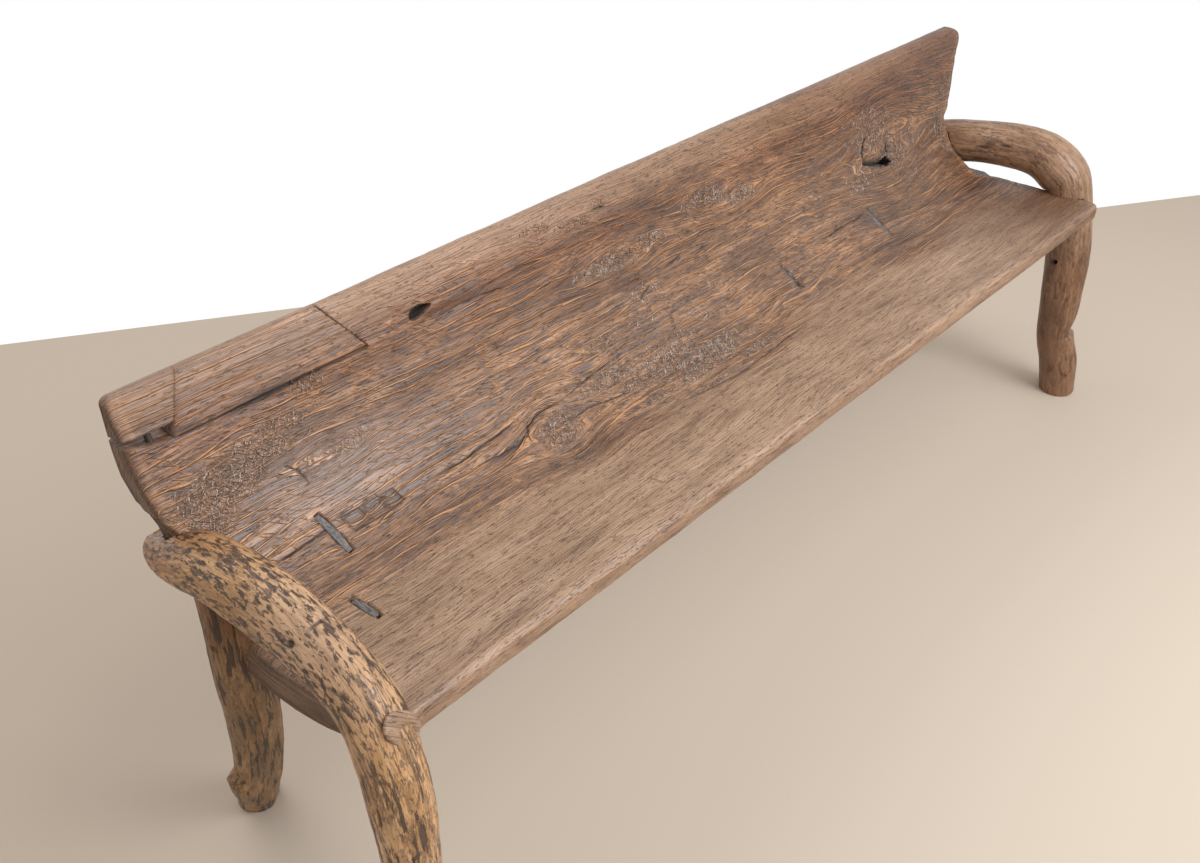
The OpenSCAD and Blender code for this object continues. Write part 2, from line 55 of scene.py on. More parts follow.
def add_camera():
    heading, pitch = CAMERA_HEADING, CAMERA_PITCH
    forward = np.array([math.cos(heading) * math.cos(pitch),
                        math.sin(heading) * math.cos(pitch), -math.sin(pitch)])
    right = np.array([math.sin(heading), -math.cos(heading), 0.0])
    down = np.cross(forward, right)
    right, down = (math.cos(CAMERA_ROLL) * right + math.sin(CAMERA_ROLL) * down,
                   math.cos(CAMERA_ROLL) * down - math.sin(CAMERA_ROLL) * right)
    data = bpy.data.cameras.new("camera")
    data.sensor_width = SENSOR_WIDTH
    data.lens = SENSOR_WIDTH * FOCAL_PIXELS / IMAGE_WIDTH
    data.clip_start = 0.01
    camera = bpy.data.objects.new("camera", data)
    bpy.context.collection.objects.link(camera)
    place = Matrix.Identity(4)
    for row in range(3):
        place[row][0], place[row][1], place[row][2] = right[row], -down[row], -forward[row]
        place[row][3] = CAMERA_PLACE[row]
    camera.matrix_world = place
    bpy.context.scene.camera = camera


add_camera()

# ------------------------------------------------ sizes in millimetres, as in the part's source
# x runs along the bench from its middle, y back from the seat's front edge, z up from the floor
HALF = 889.0                                     # half the length of the slab's front edge
SEAT, BACK_TOP = 440.0, 712.0                    # heights
LEFT_DEPTH, RIGHT_DEPTH = 369.0, 334.0           # y of the top of the back at both ends
LEFT_BACK, RIGHT_BACK = -923.0, 858.0            # x where the top of the back ends
MIDDLE = np.array([1.09, 178.62, 0.0])           # the model's origin
EDGE_ROUNDING, CORNER = 16.0, 10.0
NOTCH_LOW, NOTCH_HIGH = 443.0, 546.0             # the notches for the branches
LEFT_DROP = 4.0                                  # the back is lower at its left end
SKEW_START, SKEW_LENGTH = -4.0, 338.0            # depths over which the slab's ends run aslant
PATCH_FLOOR, PATCH_GAP = 638.0, 17.0             # the rebate's floor, and how open it is at the end
# Where the patches' seams meet their floor and the top of the back
SEAM_LEFT, SEAM_RIGHT = -866.0, -599.0
SEAM_LEFT_TOP, SEAM_RIGHT_TOP = -833.0, -655.0


def mix(a, b, t):
    return a + (b - a) * t


def ease(t):
    t = np.clip(t, 0, 1)
    return t * t * (3 - 2 * t)


def bump(distance, width):
    """1 at distance 0, falling smoothly to 0 at width."""
    return ease(1 - np.abs(distance) / width)


def unit(vector):
    return vector / np.linalg.norm(vector)


def rows_to_unit(vectors):
    return vectors / np.linalg.norm(vectors, axis=1)[:, None]


def oval(x, y, middle_x, middle_y, half_x, half_y):
    """1 on an oval's rim, less inside it."""
    return np.hypot((x - middle_x) / half_x, (y - middle_y) / half_y)


def turn_between(a, b):
    """Difference of two angles in radians, from minus to plus half a turn."""
    return np.angle(np.exp(1j * (a - b)))


# ------------------------------------------------ noise for the meshes
def lattice(ix, iy, iz, seed):
    """A value from 0 to 1 for each whole-numbered place, by an integer hash."""
    with np.errstate(over="ignore"):
        x, y, z = (i.astype(np.int64).astype(np.uint32) for i in (ix, iy, iz))
        h = x * np.uint32(0x8DA6B343) ^ y * np.uint32(0xD8163841) ^ z * np.uint32(0xCB1AB31F)
        h += np.uint32(seed * 7919 + 13)
        for shift, factor in ((15, 0x2C1B3C6D), (12, 0x297A2D39)):
            h ^= h >> np.uint32(shift)
            h *= np.uint32(factor)
        h ^= h >> np.uint32(15)
    return h / 2.0 ** 32


def noise(x, y, z=0.0, seed=0):
    """Smooth noise from -1 to 1 with cells of size 1."""
    x, y, z = np.broadcast_arrays(np.asarray(x, float), np.asarray(y, float), np.asarray(z, float))
    ix, iy, iz = np.floor(x), np.floor(y), np.floor(z)
    fx, fy, fz = ease(x - ix), ease(y - iy), ease(z - iz)
    total = 0.0
    for dx in (0, 1):
        for dy in (0, 1):
            for dz in (0, 1):
                weight = ((fx if dx else 1 - fx) * (fy if dy else 1 - fy) * (fz if dz else 1 - fz))
                total = total + weight * lattice(ix + dx, iy + dy, iz + dz, seed)
    return total * 2 - 1


def rough_noise(x, y, z=0.0, seed=0, octaves=3):
    return sum(noise(x * 2 ** k, y * 2 ** k, z * 2 ** k, seed + k) / 2 ** k for k in range(octaves))


# ------------------------------------------------ the hollowed log
def along(x):
    """Share of the way from the slab's left end to its right end."""
    return (x + HALF) / (2 * HALF)


def back_angle(x):
    return np.radians(mix(70.0, 86.0, along(x)))


def hollow_radius(x):
    return mix(187.0, 150.0, along(x))


def top_height(x):
    return BACK_TOP - LEFT_DROP * (1 - ease(2 * along(x)))


def top_thickness(x):
    return mix(20.0, 33.0, along(x))


def front_edge(x):
    """How far the seat's front edge runs out at the left end."""
    return -14.0 * ease((60 - HALF - x) / 60)


def flat_depth(x):
    """Depth of the seat's flat part, before the hollow turns up."""
    a = back_angle(x)
    back = mix(LEFT_DEPTH, RIGHT_DEPTH, along(x)) - (BACK_TOP - SEAT) / np.tan(a)
    return back - hollow_radius(x) * np.tan(a / 2)


def body_thickness(y):
    return np.where(y < 112, mix(33.0, 52.0, ease(y / 112)), mix(52.0, 50.0, ease((y - 112) / 98)))


def back_length(x):
    """Length of the back's straight part, above the hollow."""
    a, r = back_angle(x), hollow_radius(x)
    return (top_height(x) - top_thickness(x) / 2 - SEAT - r * (1 - np.cos(a))) / np.sin(a)


def surface(x, s):
    """Depth, height, slope and thickness of the wood at the length s up the sitting surface."""
    flat, r, rise = flat_depth(x), hollow_radius(x), back_angle(x)
    a = np.clip((s - flat) / r, 0, rise)
    up = np.maximum(s - flat - r * rise, 0)
    y = np.minimum(s, flat) + r * np.sin(a) + up * np.cos(a)
    z = SEAT + r * (1 - np.cos(a)) + up * np.sin(a)
    t = up / back_length(x)
    thick = np.where(up > 0, mix(50.0, top_thickness(x), t * t), body_thickness(y))
    return y, z, a, thick


def surface_place(x, y, z):
    """The other way round: length s up the sitting surface, and depth below it."""
    flat, r, rise = flat_depth(x), hollow_radius(x), back_angle(x)
    centre = SEAT + r
    a = np.arctan2(y - flat, centre - z)
    a = np.where(a < -1.0, rise, a)
    inside_arc = (a > 0) & (a < rise)
    s = np.where(a <= 0, y, flat + r * a)
    depth = np.where(a <= 0, SEAT - z, np.hypot(y - flat, centre - z) - r)
    foot_y, foot_z = flat + r * np.sin(rise), centre - r * np.cos(rise)
    up = (y - foot_y) * np.cos(rise) + (z - foot_z) * np.sin(rise)
    below = (y - foot_y) * np.sin(rise) - (z - foot_z) * np.cos(rise)
    beyond = ~inside_arc & (a >= rise)
    return np.where(beyond, flat + r * rise + up, s), np.where(beyond, below, depth)


def top_length(x):
    """Length up the sitting surface to the top of the back."""
    return flat_depth(x) + hollow_radius(x) * back_angle(x) + back_length(x)


def housing_share(y, z):
    """1 where the log's ends are let in for the branches, with soft shoulders."""
    return (ease((y - 152) / 26) * ease((z - NOTCH_LOW + 4) / 14)
            * (1 - ease((z - NOTCH_HIGH + 4) / 22)))


def end_reach(y, z, skew, back, lean, lean_height, top, rounding, housing):
    """How far one end of the log lies from the bench's middle."""
    before = np.minimum(0, y - SKEW_START)
    corner = HALF - CORNER + np.sqrt(np.maximum(0, CORNER ** 2 - before ** 2))
    skewed = HALF + skew * np.clip((y - SKEW_START) / SKEW_LENGTH, 0, 1)
    reach = np.where(y < SKEW_START, corner, skewed)
    leaning = back - lean * (1 - np.clip((z - NOTCH_HIGH) / lean_height, 0, 1))
    reach = np.where(z >= NOTCH_HIGH, np.minimum(reach, leaning), reach)
    over = np.maximum(0, z - (top - rounding))
    reach = np.minimum(reach, back - rounding + np.sqrt(np.maximum(0, rounding ** 2 - over ** 2)))
    return mix(reach, np.minimum(reach, back - housing), housing_share(y, z))


def left_end(y, z):
    return -end_reach(y, z, 34, -LEFT_BACK, 9, 58, BACK_TOP - LEFT_DROP, 16, 17)


def right_end(y, z):
    return end_reach(y, z, -31, RIGHT_BACK, 28, 136, BACK_TOP, 30, 42)


class Section:
    """Ring of points round the log: sitting surface, top edge, underside, front edge."""

    def __init__(self, inner, outer, edge):
        self.inner = np.arange(inner + 1) / inner
        self.outer = 1 - np.arange(outer + 1) / outer
        self.edge = np.radians(90 * (1 - np.cos(np.pi * np.arange(1, edge) / edge)))
        self.starts = np.cumsum([0, inner + 1, edge - 1, outer + 1, edge - 1])
        self.count = self.starts[-1]

    def side(self, x, v, under, grow):
        y, z, a, thick = surface(x, mix(front_edge(x) + EDGE_ROUNDING, top_length(x), v))
        way = np.where(under, thick + grow, -grow)
        return y + np.sin(a) * way, z - np.cos(a) * way

    def round_edge(self, x, at, out_y, out_z, bulge, softness, turn, grow):
        y0, z0 = self.side(x, at, turn < 0, grow)
        y1, z1 = self.side(x, at, turn > 0, grow)
        c, s = np.cos(self.edge), np.sin(self.edge)
        share = np.sign(c) * np.abs(c) ** softness
        y = (y0 + y1) / 2 + (y0 - y1) / 2 * share + out_y * bulge * s ** softness
        z = (z0 + z1) / 2 + (z0 - z1) / 2 * share + out_z * bulge * s ** softness
        return y, z

    def ring(self, x, grow=0.0):
        """x has the ring's points as its last axis."""
        grow = np.broadcast_to(grow, x.shape)
        a, b, c, d, e = self.starts
        y, z = np.empty(x.shape), np.empty(x.shape)
        y[..., a:b], z[..., a:b] = self.side(x[..., a:b], self.inner, False, grow[..., a:b])
        xt, gt = x[..., b:c], grow[..., b:c]
        rise = back_angle(xt)
        y[..., b:c], z[..., b:c] = self.round_edge(
            xt, 1.0, np.cos(rise), np.sin(rise), top_thickness(xt) / 2 + gt, 0.85, 1, gt)
        y[..., c:d], z[..., c:d] = self.side(x[..., c:d], self.outer, True, grow[..., c:d])
        xf, gf = x[..., d:e], grow[..., d:e]
        y[..., d:e], z[..., d:e] = self.round_edge(
            xf, 0.0, -1.0, 0.0, EDGE_ROUNDING + gf, 0.62, -1, gf)
        return y, z


FINE = Section(196, 30, 12)
COARSE = Section(48, 24, 8)


def zip_rows(a, b):
    """Triangles between two rows of points that run side by side."""
    faces, i, j = [], 0, 0
    while i < len(a) - 1 or j < len(b) - 1:
        a_first = i < len(a) - 1 and (i + 1) / (len(a) - 1) <= (j + 1) / (len(b) - 1)
        if j == len(b) - 1 or a_first:
            faces.append((a[i], b[j], a[i + 1]))
            i += 1
        else:
            faces.append((a[i], b[j], b[j + 1]))
            j += 1
    return faces


def quads(grid, closed):
    """Faces of a grid of point numbers; closed joins its last column to its first."""
    right = np.roll(grid, -1, axis=1) if closed else grid[:, 1:]
    left = grid if closed else grid[:, :-1]
    cells = np.stack([left[:-1], right[:-1], right[1:], left[1:]], -1)
    return [tuple(cell) for cell in cells.reshape(-1, 4).tolist()]


def solid(name, points, faces):
    """Closed mesh object from points in millimetres of the bench, its faces turned outwards."""
    mesh = bpy.data.meshes.new(name)
    p = points - MIDDLE
    mesh.from_pydata((p / 1000.0).tolist(), [], [tuple(int(i) for i in f) for f in faces])
    mesh.update()
    mesh.calc_loop_triangles()
    corners = np.empty(len(mesh.loop_triangles) * 3, np.int32)
    mesh.loop_triangles.foreach_get("vertices", corners)
    p = p[corners].reshape(-1, 3, 3)
    if np.einsum("ij,ij->i", p[:, 0], np.cross(p[:, 1], p[:, 2])).sum() < 0:
        mesh.flip_normals()
    for polygon in mesh.polygons:
        polygon.use_smooth = True
    work = bmesh.new()
    work.from_mesh(mesh)
    bmesh.ops.remove_doubles(work, verts=work.verts, dist=1e-6)
    bmesh.ops.recalc_face_normals(work, faces=work.faces)
    work.to_mesh(mesh)
    work.free()
    obj = bpy.data.objects.new(name, mesh)
    bpy.context.collection.objects.link(obj)
    return obj


def ring_solid(name, points, sides):
    """Solid from rings of points, with a flat face at either end."""
    grid = np.arange(len(points)).reshape(-1, sides)
    return solid(name, points, quads(grid, True) + [tuple(grid[0]), tuple(grid[-1][::-1])])


def section_normals(y, z):
    """Outward normals of closed rings, in the plane across the bench."""
    dy = np.roll(y, -1, axis=-1) - np.roll(y, 1, axis=-1)
    dz = np.roll(z, -1, axis=-1) - np.roll(z, 1, axis=-1)
    size = np.maximum(np.hypot(dy, dz), 1e-9)
    return np.stack([np.zeros(y.shape), -dz / size, dy / size], -1)


END_ROUNDING = 8.0
CAP_STEPS = 8
ROUND_STEPS = 6
END_PASSES = 4


def log_mesh(section, columns, relief, low=left_end, high=right_end,
             rounding=END_ROUNDING, grow=0.0):
    """Points and faces of the log between two ends, with a relief along its normals."""
    count = section.count
    ends = []
    for end, start, way in ((low, -HALF, -1), (high, HALF, 1)):
        x = np.full(count, start)
        for _ in range(END_PASSES):
            x = end(*section.ring(x)) + way * grow
        ends.append(x)
    turn = np.radians(90 * np.arange(ROUND_STEPS + 1) / ROUND_STEPS)
    shift, inset = rounding * (1 - np.sin(turn)), rounding * (1 - np.cos(turn))
    middle = np.arange(1, columns)[:, None] / columns
    x = np.concatenate([ends[0] + shift[::-1, None],
                        mix(ends[0] + rounding, ends[1] - rounding, middle),
                        ends[1] - shift[:, None]])
    inset = np.concatenate([inset[::-1, None], np.zeros((columns - 1, 1)), inset[:, None]])
    y, z = section.ring(x, grow - inset)
    p = np.stack([x, y, z], -1)
    a, b, c, d, e = section.starts
    if relief is not None:
        under = np.zeros(count)
        under[c:d] = 1
        s, depth = surface_place(x, y, z)
        p = p + section_normals(y, z) * relief(x, s, depth, under)[..., None]
    points = [p.reshape(-1, 3)]
    grid = np.arange(p.shape[0] * count).reshape(p.shape[0], count)
    faces = quads(grid, True)
    total = grid.size
    share = np.arange(1, CAP_STEPS)[:, None, None] / CAP_STEPS
    for row, end, way in ((0, low, 1), (len(p) - 1, high, -1)):
        inner = p[row, a:b]
        outer = np.stack([np.interp(section.inner, section.outer[::-1], p[row, c:d, k][::-1])
                          for k in range(3)], -1)
        cap = mix(inner[None], outer[None], share)
        y, z = cap[..., 1], cap[..., 2]
        cap[..., 0] = end(y, z)
        if relief is not None:
            sawn = noise(y / 9, z / 9, 0, 41) * 0.5 + noise(y / 40, z / 40, 0, 42)
            cap[..., 0] += way * (0.9 + 0.8 * sawn)
        points.append(cap.reshape(-1, 3))
        numbers = total + np.arange(cap[..., 0].size).reshape(cap.shape[:2])
        total += numbers.size
        ring = grid[row]
        top, front = ring[b:c], ring[d:e][::-1]
        faces += quads(np.concatenate([ring[a:b][None], numbers]), False)
        faces += zip_rows(numbers[-1], ring[c:d][::-1])
        for first, column, rim, last in ((ring[b - 1], -1, top, ring[c]),
                                         (ring[a], 0, front, ring[d - 1])):
            faces += zip_rows([first, *numbers[:, column], last], [first, *rim, last])
    return np.concatenate(points), [f for f in faces if len(set(f)) == len(f)]


def prism(name, outline, low, high, steps=1):
    """A cutter: an outline in x and z between two depths y, in millimetres."""
    points = [[x, y, z] for y in np.linspace(low, high, steps + 1) for x, z in outline]
    return ring_solid(name, np.array(points, float), len(outline))


def cut(obj, cutter, operation="DIFFERENCE"):
    modifier = obj.modifiers.new("cut", "BOOLEAN")
    modifier.operation = operation
    modifier.object = cutter
    modifier.solver = "MANIFOLD"
    graph = bpy.context.evaluated_depsgraph_get()
    graph.update()
    result = bpy.data.meshes.new_from_object(obj.evaluated_get(graph))
    obj.modifiers.remove(modifier)
    if len(result.polygons) == 0:
        raise RuntimeError("cutting " + obj.name + " left nothing")
    old, tool = obj.data, cutter.data
    result.name = old.name
    obj.data = result
    bpy.data.objects.remove(cutter)
    for mesh in (old, tool):
        bpy.data.meshes.remove(mesh)


def coordinates(obj):
    """The mesh's points in millimetres of the bench."""
    flat = np.empty(len(obj.data.vertices) * 3, np.float32)
    obj.data.vertices.foreach_get("co", flat)
    return flat.reshape(-1, 3).astype(float) * 1000 + MIDDLE


def attribute(obj, name, values):
    kind = "FLOAT" if values.ndim == 1 else "FLOAT_VECTOR"
    layer = obj.data.attributes.new(name, kind, "POINT")
    field = "value" if values.ndim == 1 else "vector"
    layer.data.foreach_set(field, np.ascontiguousarray(values, np.float32).ravel())


# ------------------------------------------------ what marks the sitting surface
# Places are (x, s) in millimetres: along the bench, and up the sitting surface from its front edge.
# Cracks: their line, half width and depth
CRACKS = [
    ([(-577, 261), (-544, 262), (-506, 265), (-468, 268), (-443, 271)], 1.3, 8.0),
    ([(-525, 245), (-489, 243), (-452, 243), (-438, 246)], 1.1, 5.0),
    ([(-436, 232), (-434, 247), (-424, 258), (-404, 264), (-372, 264), (-348, 265)], 1.1, 6.0),
    ([(-344, 265), (-310, 270), (-272, 274), (-232, 278)], 0.9, 4.0),
    ([(-824, 269), (-791, 269), (-765, 271), (-748, 272)], 1.2, 6.0),
    ([(309, 277), (354, 276), (403, 277), (444, 278), (462, 277)], 1.2, 5.0),
    ([(-134, 333), (-118, 338), (-100, 347)], 1.0, 4.0),
    ([(-868, 451), (-800, 452), (-740, 453), (-700, 454), (-664, 457)], 1.3, 8.0),
    ([(-444, 447), (-415, 446), (-372, 443)], 1.0, 4.0),
    ([(-186, 488), (-171, 490), (-160, 486)], 1.4, 5.0),
    ([(-62, 359), (-40, 362), (-14, 366)], 1.6, 3.5),
    ([(-760, 362), (-744, 351), (-738, 330)], 1.4, 3.0),
    ([(530, 404), (520, 390), (514, 374), (514, 361)], 1.7, 9.0),
    ([(508, 358), (524, 354), (546, 347), (578, 343)], 4.2, 16.0),
    ([(594, 352), (597, 366), (594, 378)], 1.6, 6.0),
    ([(110, 158), (60, 155), (1, 153), (-50, 148), (-88, 148), (-138, 154), (-200, 163)], 1.4, 3.0),
    ([(-380, 236), (-313, 234), (-262, 226), (-232, 217)], 1.1, 3.0),
    ([(-375, 84), (-371, 72), (-369, 58)], 0.8, 2.0),
]
# Torn grain: middle, half sizes and strength
TORN = [
    (-835, 375, 58, 22, 0.9), (-780, 392, 50, 18, 0.9), (-868, 350, 30, 26, 0.7),
    (-745, 408, 36, 12, 0.8), (-690, 436, 24, 8, 0.8), (-668, 352, 30, 12, 0.7),
    (-697, 449, 26, 6, 1.0), (-255, 258, 56, 12, 0.8), (-175, 236, 84, 18, 0.9),
    (-70, 208, 76, 22, 1.0), (-10, 172, 46, 11, 0.8), (-215, 190, 50, 6, 0.7),
    (-120, 160, 60, 5, 0.7), (-150, 262, 70, 9, 0.5), (-30, 262, 60, 10, 0.5),
    (-297, 498, 40, 8, 0.7), (-228, 484, 36, 8, 0.8), (-170, 496, 26, 10, 0.6),
    (-175, 406, 56, 14, 1.0), (-80, 412, 36, 10, 0.9), (-118, 340, 34, 12, 0.6),
    (46, 436, 34, 13, 0.9), (95, 425, 28, 10, 0.9), (150, 412, 32, 13, 0.9),
    (560, 400, 70, 36, 0.8), (618, 352, 56, 32, 0.8), (490, 330, 42, 18, 0.6),
    (520, 430, 42, 24, 0.8), (650, 300, 50, 18, 0.5), (540, 206, 46, 7, 0.6),
    (590, 160, 30, 5, 0.5), (790, 350, 20, 40, 0.9), (800, 420, 16, 34, 0.6),
    (200, 196, 24, 6, 0.4), (-221, 308, 30, 8, 0.7), (-150, 303, 26, 8, 0.6),
    (-129, 187, 40, 8, 0.8), (-388, 226, 33, 28, 0.7),
]
# Knots and the three small marks beside the keys: middle and half sizes
KNOTS = [(-392, 229, 42, 33), (-150, 405, 62, 20), (62, 437, 44, 18), (140, 414, 40, 17),
         (590, 372, 96, 60), (-700, 352, 40, 16)]
MARKS = [(-709, 265, 12, 10), (-680, 265, 12, 10), (-655, 266, 10, 9)]
# Keys: x and y of the middle, turn in degrees, length, how far the top lies under the surface,
# and how much longer the mortise is
KEYS = {
    "left_long_key": (-745, 256, 10, 60, 0.9, 1.6),
    "left_short_key": (-779, 163, 8, 38, 0.9, 12.0),
    "right_long_key": (467, 246, -2, 66, 1.6, 1.6),
    "right_short_key": (187, 244, 0, 53, 4.5, 1.6),
}
KEY_WIDTH, KEY_DEPTH, KEY_BOW, KEY_ARRIS = 11.0, 14.0, 1.2, 1.3
# Where painted shade darkens the two open holes inside: middle and half sizes
HOLES = [(-508, 449, 46, 24), (588, 342, 30, 24)]
END_SEAM = [(SEAM_LEFT, PATCH_FLOOR), (SEAM_LEFT_TOP, BACK_TOP)]
LONG_SEAM = [(SEAM_RIGHT, PATCH_FLOOR), (SEAM_RIGHT_TOP, BACK_TOP)]
SEAM_OPEN = -745.0
FLOOR_SEAM = [(LEFT_BACK, PATCH_FLOOR + PATCH_GAP), END_SEAM[0], LONG_SEAM[0]]


def to_line(x, y, line):
    """Distance to a broken line, and how far along it, from 0 to 1."""
    best, share = np.full(np.shape(x), 1e9), np.zeros(np.shape(x))
    lengths = [math.hypot(b[0] - a[0], b[1] - a[1]) for a, b in zip(line, line[1:])]
    done = 0.0
    for (a, b), length in zip(zip(line, line[1:]), lengths):
        ux, uy = (b[0] - a[0]) / length, (b[1] - a[1]) / length
        t = np.clip((x - a[0]) * ux + (y - a[1]) * uy, 0, length)
        d = np.hypot(x - a[0] - t * ux, y - a[1] - t * uy)
        near = d < best
        best = np.where(near, d, best)
        share = np.where(near, (done + t) / sum(lengths), share)
        done += length
    return best, share


def ends_closed(share, steepness):
    """How open a crack is along its length, from 0 at its two ends to 1."""
    return np.sqrt(np.clip(np.minimum(share, 1 - share) * steepness, 0, 1))


def crack_field(x, s):
    """Depth of the cracks in millimetres, and how dark the painted shade in them is."""
    wander = 1.6 * noise(x / 16, s / 30, 0, 51) + 0.7 * noise(x / 5, s / 20, 0, 52)
    depth, dark = np.zeros(np.shape(x)), np.zeros(np.shape(x))
    for line, width, deep in CRACKS:
        d, share = to_line(x, s + wander, line)
        open_share = ends_closed(share, 6)
        depth = np.maximum(depth, 0.25 * deep * bump(d, width * 4) * open_share)
        dark = np.maximum(dark, bump(d, width * 2.2) * open_share)
    return depth, dark


def crack_cutter(number, line, width, deep):
    """A wedge that opens the wood along a line on the sitting surface."""
    line = np.array(line, float)
    steps = np.hypot(*np.diff(line, axis=0).T)
    run = np.concatenate([[0], np.cumsum(steps)])
    count = max(6, int(run[-1] / 4))
    t = np.linspace(0, run[-1], count)
    x, s = np.interp(t, run, line[:, 0]), np.interp(t, run, line[:, 1])
    way = rows_to_unit(np.stack([np.gradient(x), np.gradient(s)], -1))
    stray = 1.3 * noise(t / 17, number, 0, 55) + 0.7 * noise(t / 6, number, 0, 56)
    share = t / run[-1]
    half = width * (0.12 + ends_closed(share, 5)) * (1 + 0.45 * noise(t / 9, number, 0, 57))
    clear = np.full(count, 4.0)
    bottom = -deep * (0.35 + 0.65 * ends_closed(share, 6))
    rows = []
    for across, up in ((-1, clear), (1, clear), (0, bottom)):
        gap = half * (1 + 4.0 / deep) * across + stray
        cx, cs = x - way[:, 1] * gap, s + way[:, 0] * gap
        y, z, a, _ = surface(cx, cs)
        rows.append(np.stack([cx, y - np.sin(a) * up, z + np.cos(a) * up], -1))
    return ring_solid("crack", np.stack(rows, 1).reshape(-1, 3), 3)


def torn_field(x, s):
    """How torn the grain is, from 0 to 1."""
    torn = np.zeros(np.shape(x))
    ragged = 0.35 * noise(x / 22, s / 9, 0, 61) + 0.25 * noise(x / 8, s / 4, 0, 62)
    for *place, much in TORN:
        torn = np.maximum(torn, much * ease(1.45 - oval(x, s, *place) + ragged))
    return torn


def knot_field(x, s):
    """Nearness to a knot, from 0 to 1, and the knot's own rings."""
    near, rings = np.zeros(np.shape(x)), np.zeros(np.shape(x))
    for place in KNOTS:
        d = oval(x, s, *place) + 0.08 * noise(x / 12, s / 10, 0, 71)
        closer = ease(1.6 - d)
        rings = np.where(closer > near, np.cos(d * 17), rings)
        near = np.maximum(near, closer)
    return near, rings


def grain_bend(x, s):
    """How far the grain is pushed aside round the knots, in millimetres."""
    bend = np.zeros(np.shape(x))
    for cx, cs, wide, tall in KNOTS:
        d = oval(x, s, cx, cs, wide * 1.7, tall * 2.4)
        push = np.sign(s - cs) * tall * 0.75 * np.exp(-d * d * 1.6)
        bend = bend + push * ease(np.abs(s - cs) / (tall * 0.5))
    return bend


def worn_share(x, s):
    """0 where the raised grain stands, 1 where the seat and the top are worn smooth."""
    front = ease((190 + 26 * noise(x / 160, 0, 0, 81) - s) / 60)
    top = ease((s - 470 - 14 * noise(x / 200, 3, 0, 82)) / 40)
    return np.clip(front + 0.85 * top, 0, 1)


def seam_field(x, z):
    """Wear along the seams of the patches, from 0 to 1."""
    near = np.minimum.reduce([to_line(x, z, line)[0] for line in (END_SEAM, LONG_SEAM, FLOOR_SEAM)])
    return bump(near, 4.5)


def seam_gap(x, z):
    """How dark the painted shade in the open seam under the long patch is, from 0 to 1."""
    height = PATCH_FLOOR + 0.3
    d = to_line(x, z, [(SEAM_LEFT, height), (SEAM_RIGHT - 1, height)])[0]
    wide = 1.1 + 1.5 * bump(x - SEAM_OPEN, 85)
    inside = ease((x - SEAM_LEFT + 2) / 6)
    return ease((1.7 - d / wide) / 1.2) * inside * (0.75 + 0.25 * bump(x - SEAM_OPEN, 110))


def slab_relief(x, s, depth, under):
    """Height of the slab's relief in millimetres."""
    top = 1 - ease((depth - 3) / 8)
    torn, (near, rings) = torn_field(x, s), knot_field(x, s)
    flakes = noise(x / 7, s / 3.4, 0, 101) * 0.9 + noise(x / 13, s / 6, 0, 102) * 1.1
    calm = ease((s - 12) / 30) * ease((top_length(x) - s) / 30)
    swell = 1.3 * noise(x / 190, s / 95, 0, 103) + 0.5 * noise(x / 60, s / 34, 0, 104)
    upper = (swell * (0.25 + 0.75 * calm) - 0.3 + torn * (0.8 * flakes - 1.3)
             + near * (0.6 * rings + 0.8 * noise(x / 30, s / 20, 0, 105)) - crack_field(x, s)[0]
             + 0.5 * noise(x / 120, s / 8, 0, 112) * (1 - worn_share(x, s)))
    for cx, cs, wide, tall in MARKS:
        across = np.maximum(np.abs(x - cx) / wide, np.abs(s - cs) / tall)
        upper = upper - 1.8 * ease(1.9 - across * 1.5)
    # Dips at the split beside the knot hole and below the burl's hole
    upper = upper - 3.4 * ease(1.3 - oval(x, s, -478, 447, 52, 8.5))
    worn_away = 3.0 * ease(1.4 - oval(x, s, 566, 364, 40, 24))
    upper = upper - worn_away * (0.6 + 0.4 * noise(x / 9, s / 7, 0, 107))
    hewn = (1.6 * noise(x / 150, s / 46, depth / 60, 108)
            + 0.5 * rough_noise(x / 60, s / 7, depth / 30, 109, 2))
    arris = 0.5 * noise(x / 60, 0, depth / 24, 110) + 0.25 * noise(x / 14, 0, depth / 12, 111) - 0.4
    edge = ease((depth - 3) / 6) * (1 - under)
    return upper * top * (1 - under) + arris * edge + hewn * under


# The tongue of wood at the slab's front left corner: its two ends, the way it faces, half its width
TONGUE_ROOT, TONGUE_TIP = np.array([-862.0, -27.0, 446.0]), np.array([-904.0, -28.0, 489.0])
TONGUE_OUT = np.array([0.32, -0.88, 0.35])
TONGUE_HALF = 17.0
TONGUE_WAY = unit(TONGUE_TIP - TONGUE_ROOT)
TONGUE_FACE = unit(TONGUE_OUT - TONGUE_WAY * (TONGUE_OUT @ TONGUE_WAY))
TONGUE_ASIDE = np.cross(TONGUE_WAY, TONGUE_FACE)


def scoop_share(run, aside):
    """The hollow in the tongue's face, open towards the slab."""
    return ease(1.35 - oval(run, aside, -9, -4, 19, 11))


SLAB_ATTRIBUTES = ("grain", "end", "rim", "torn", "crack", "mark", "worn", "knot", "bend")


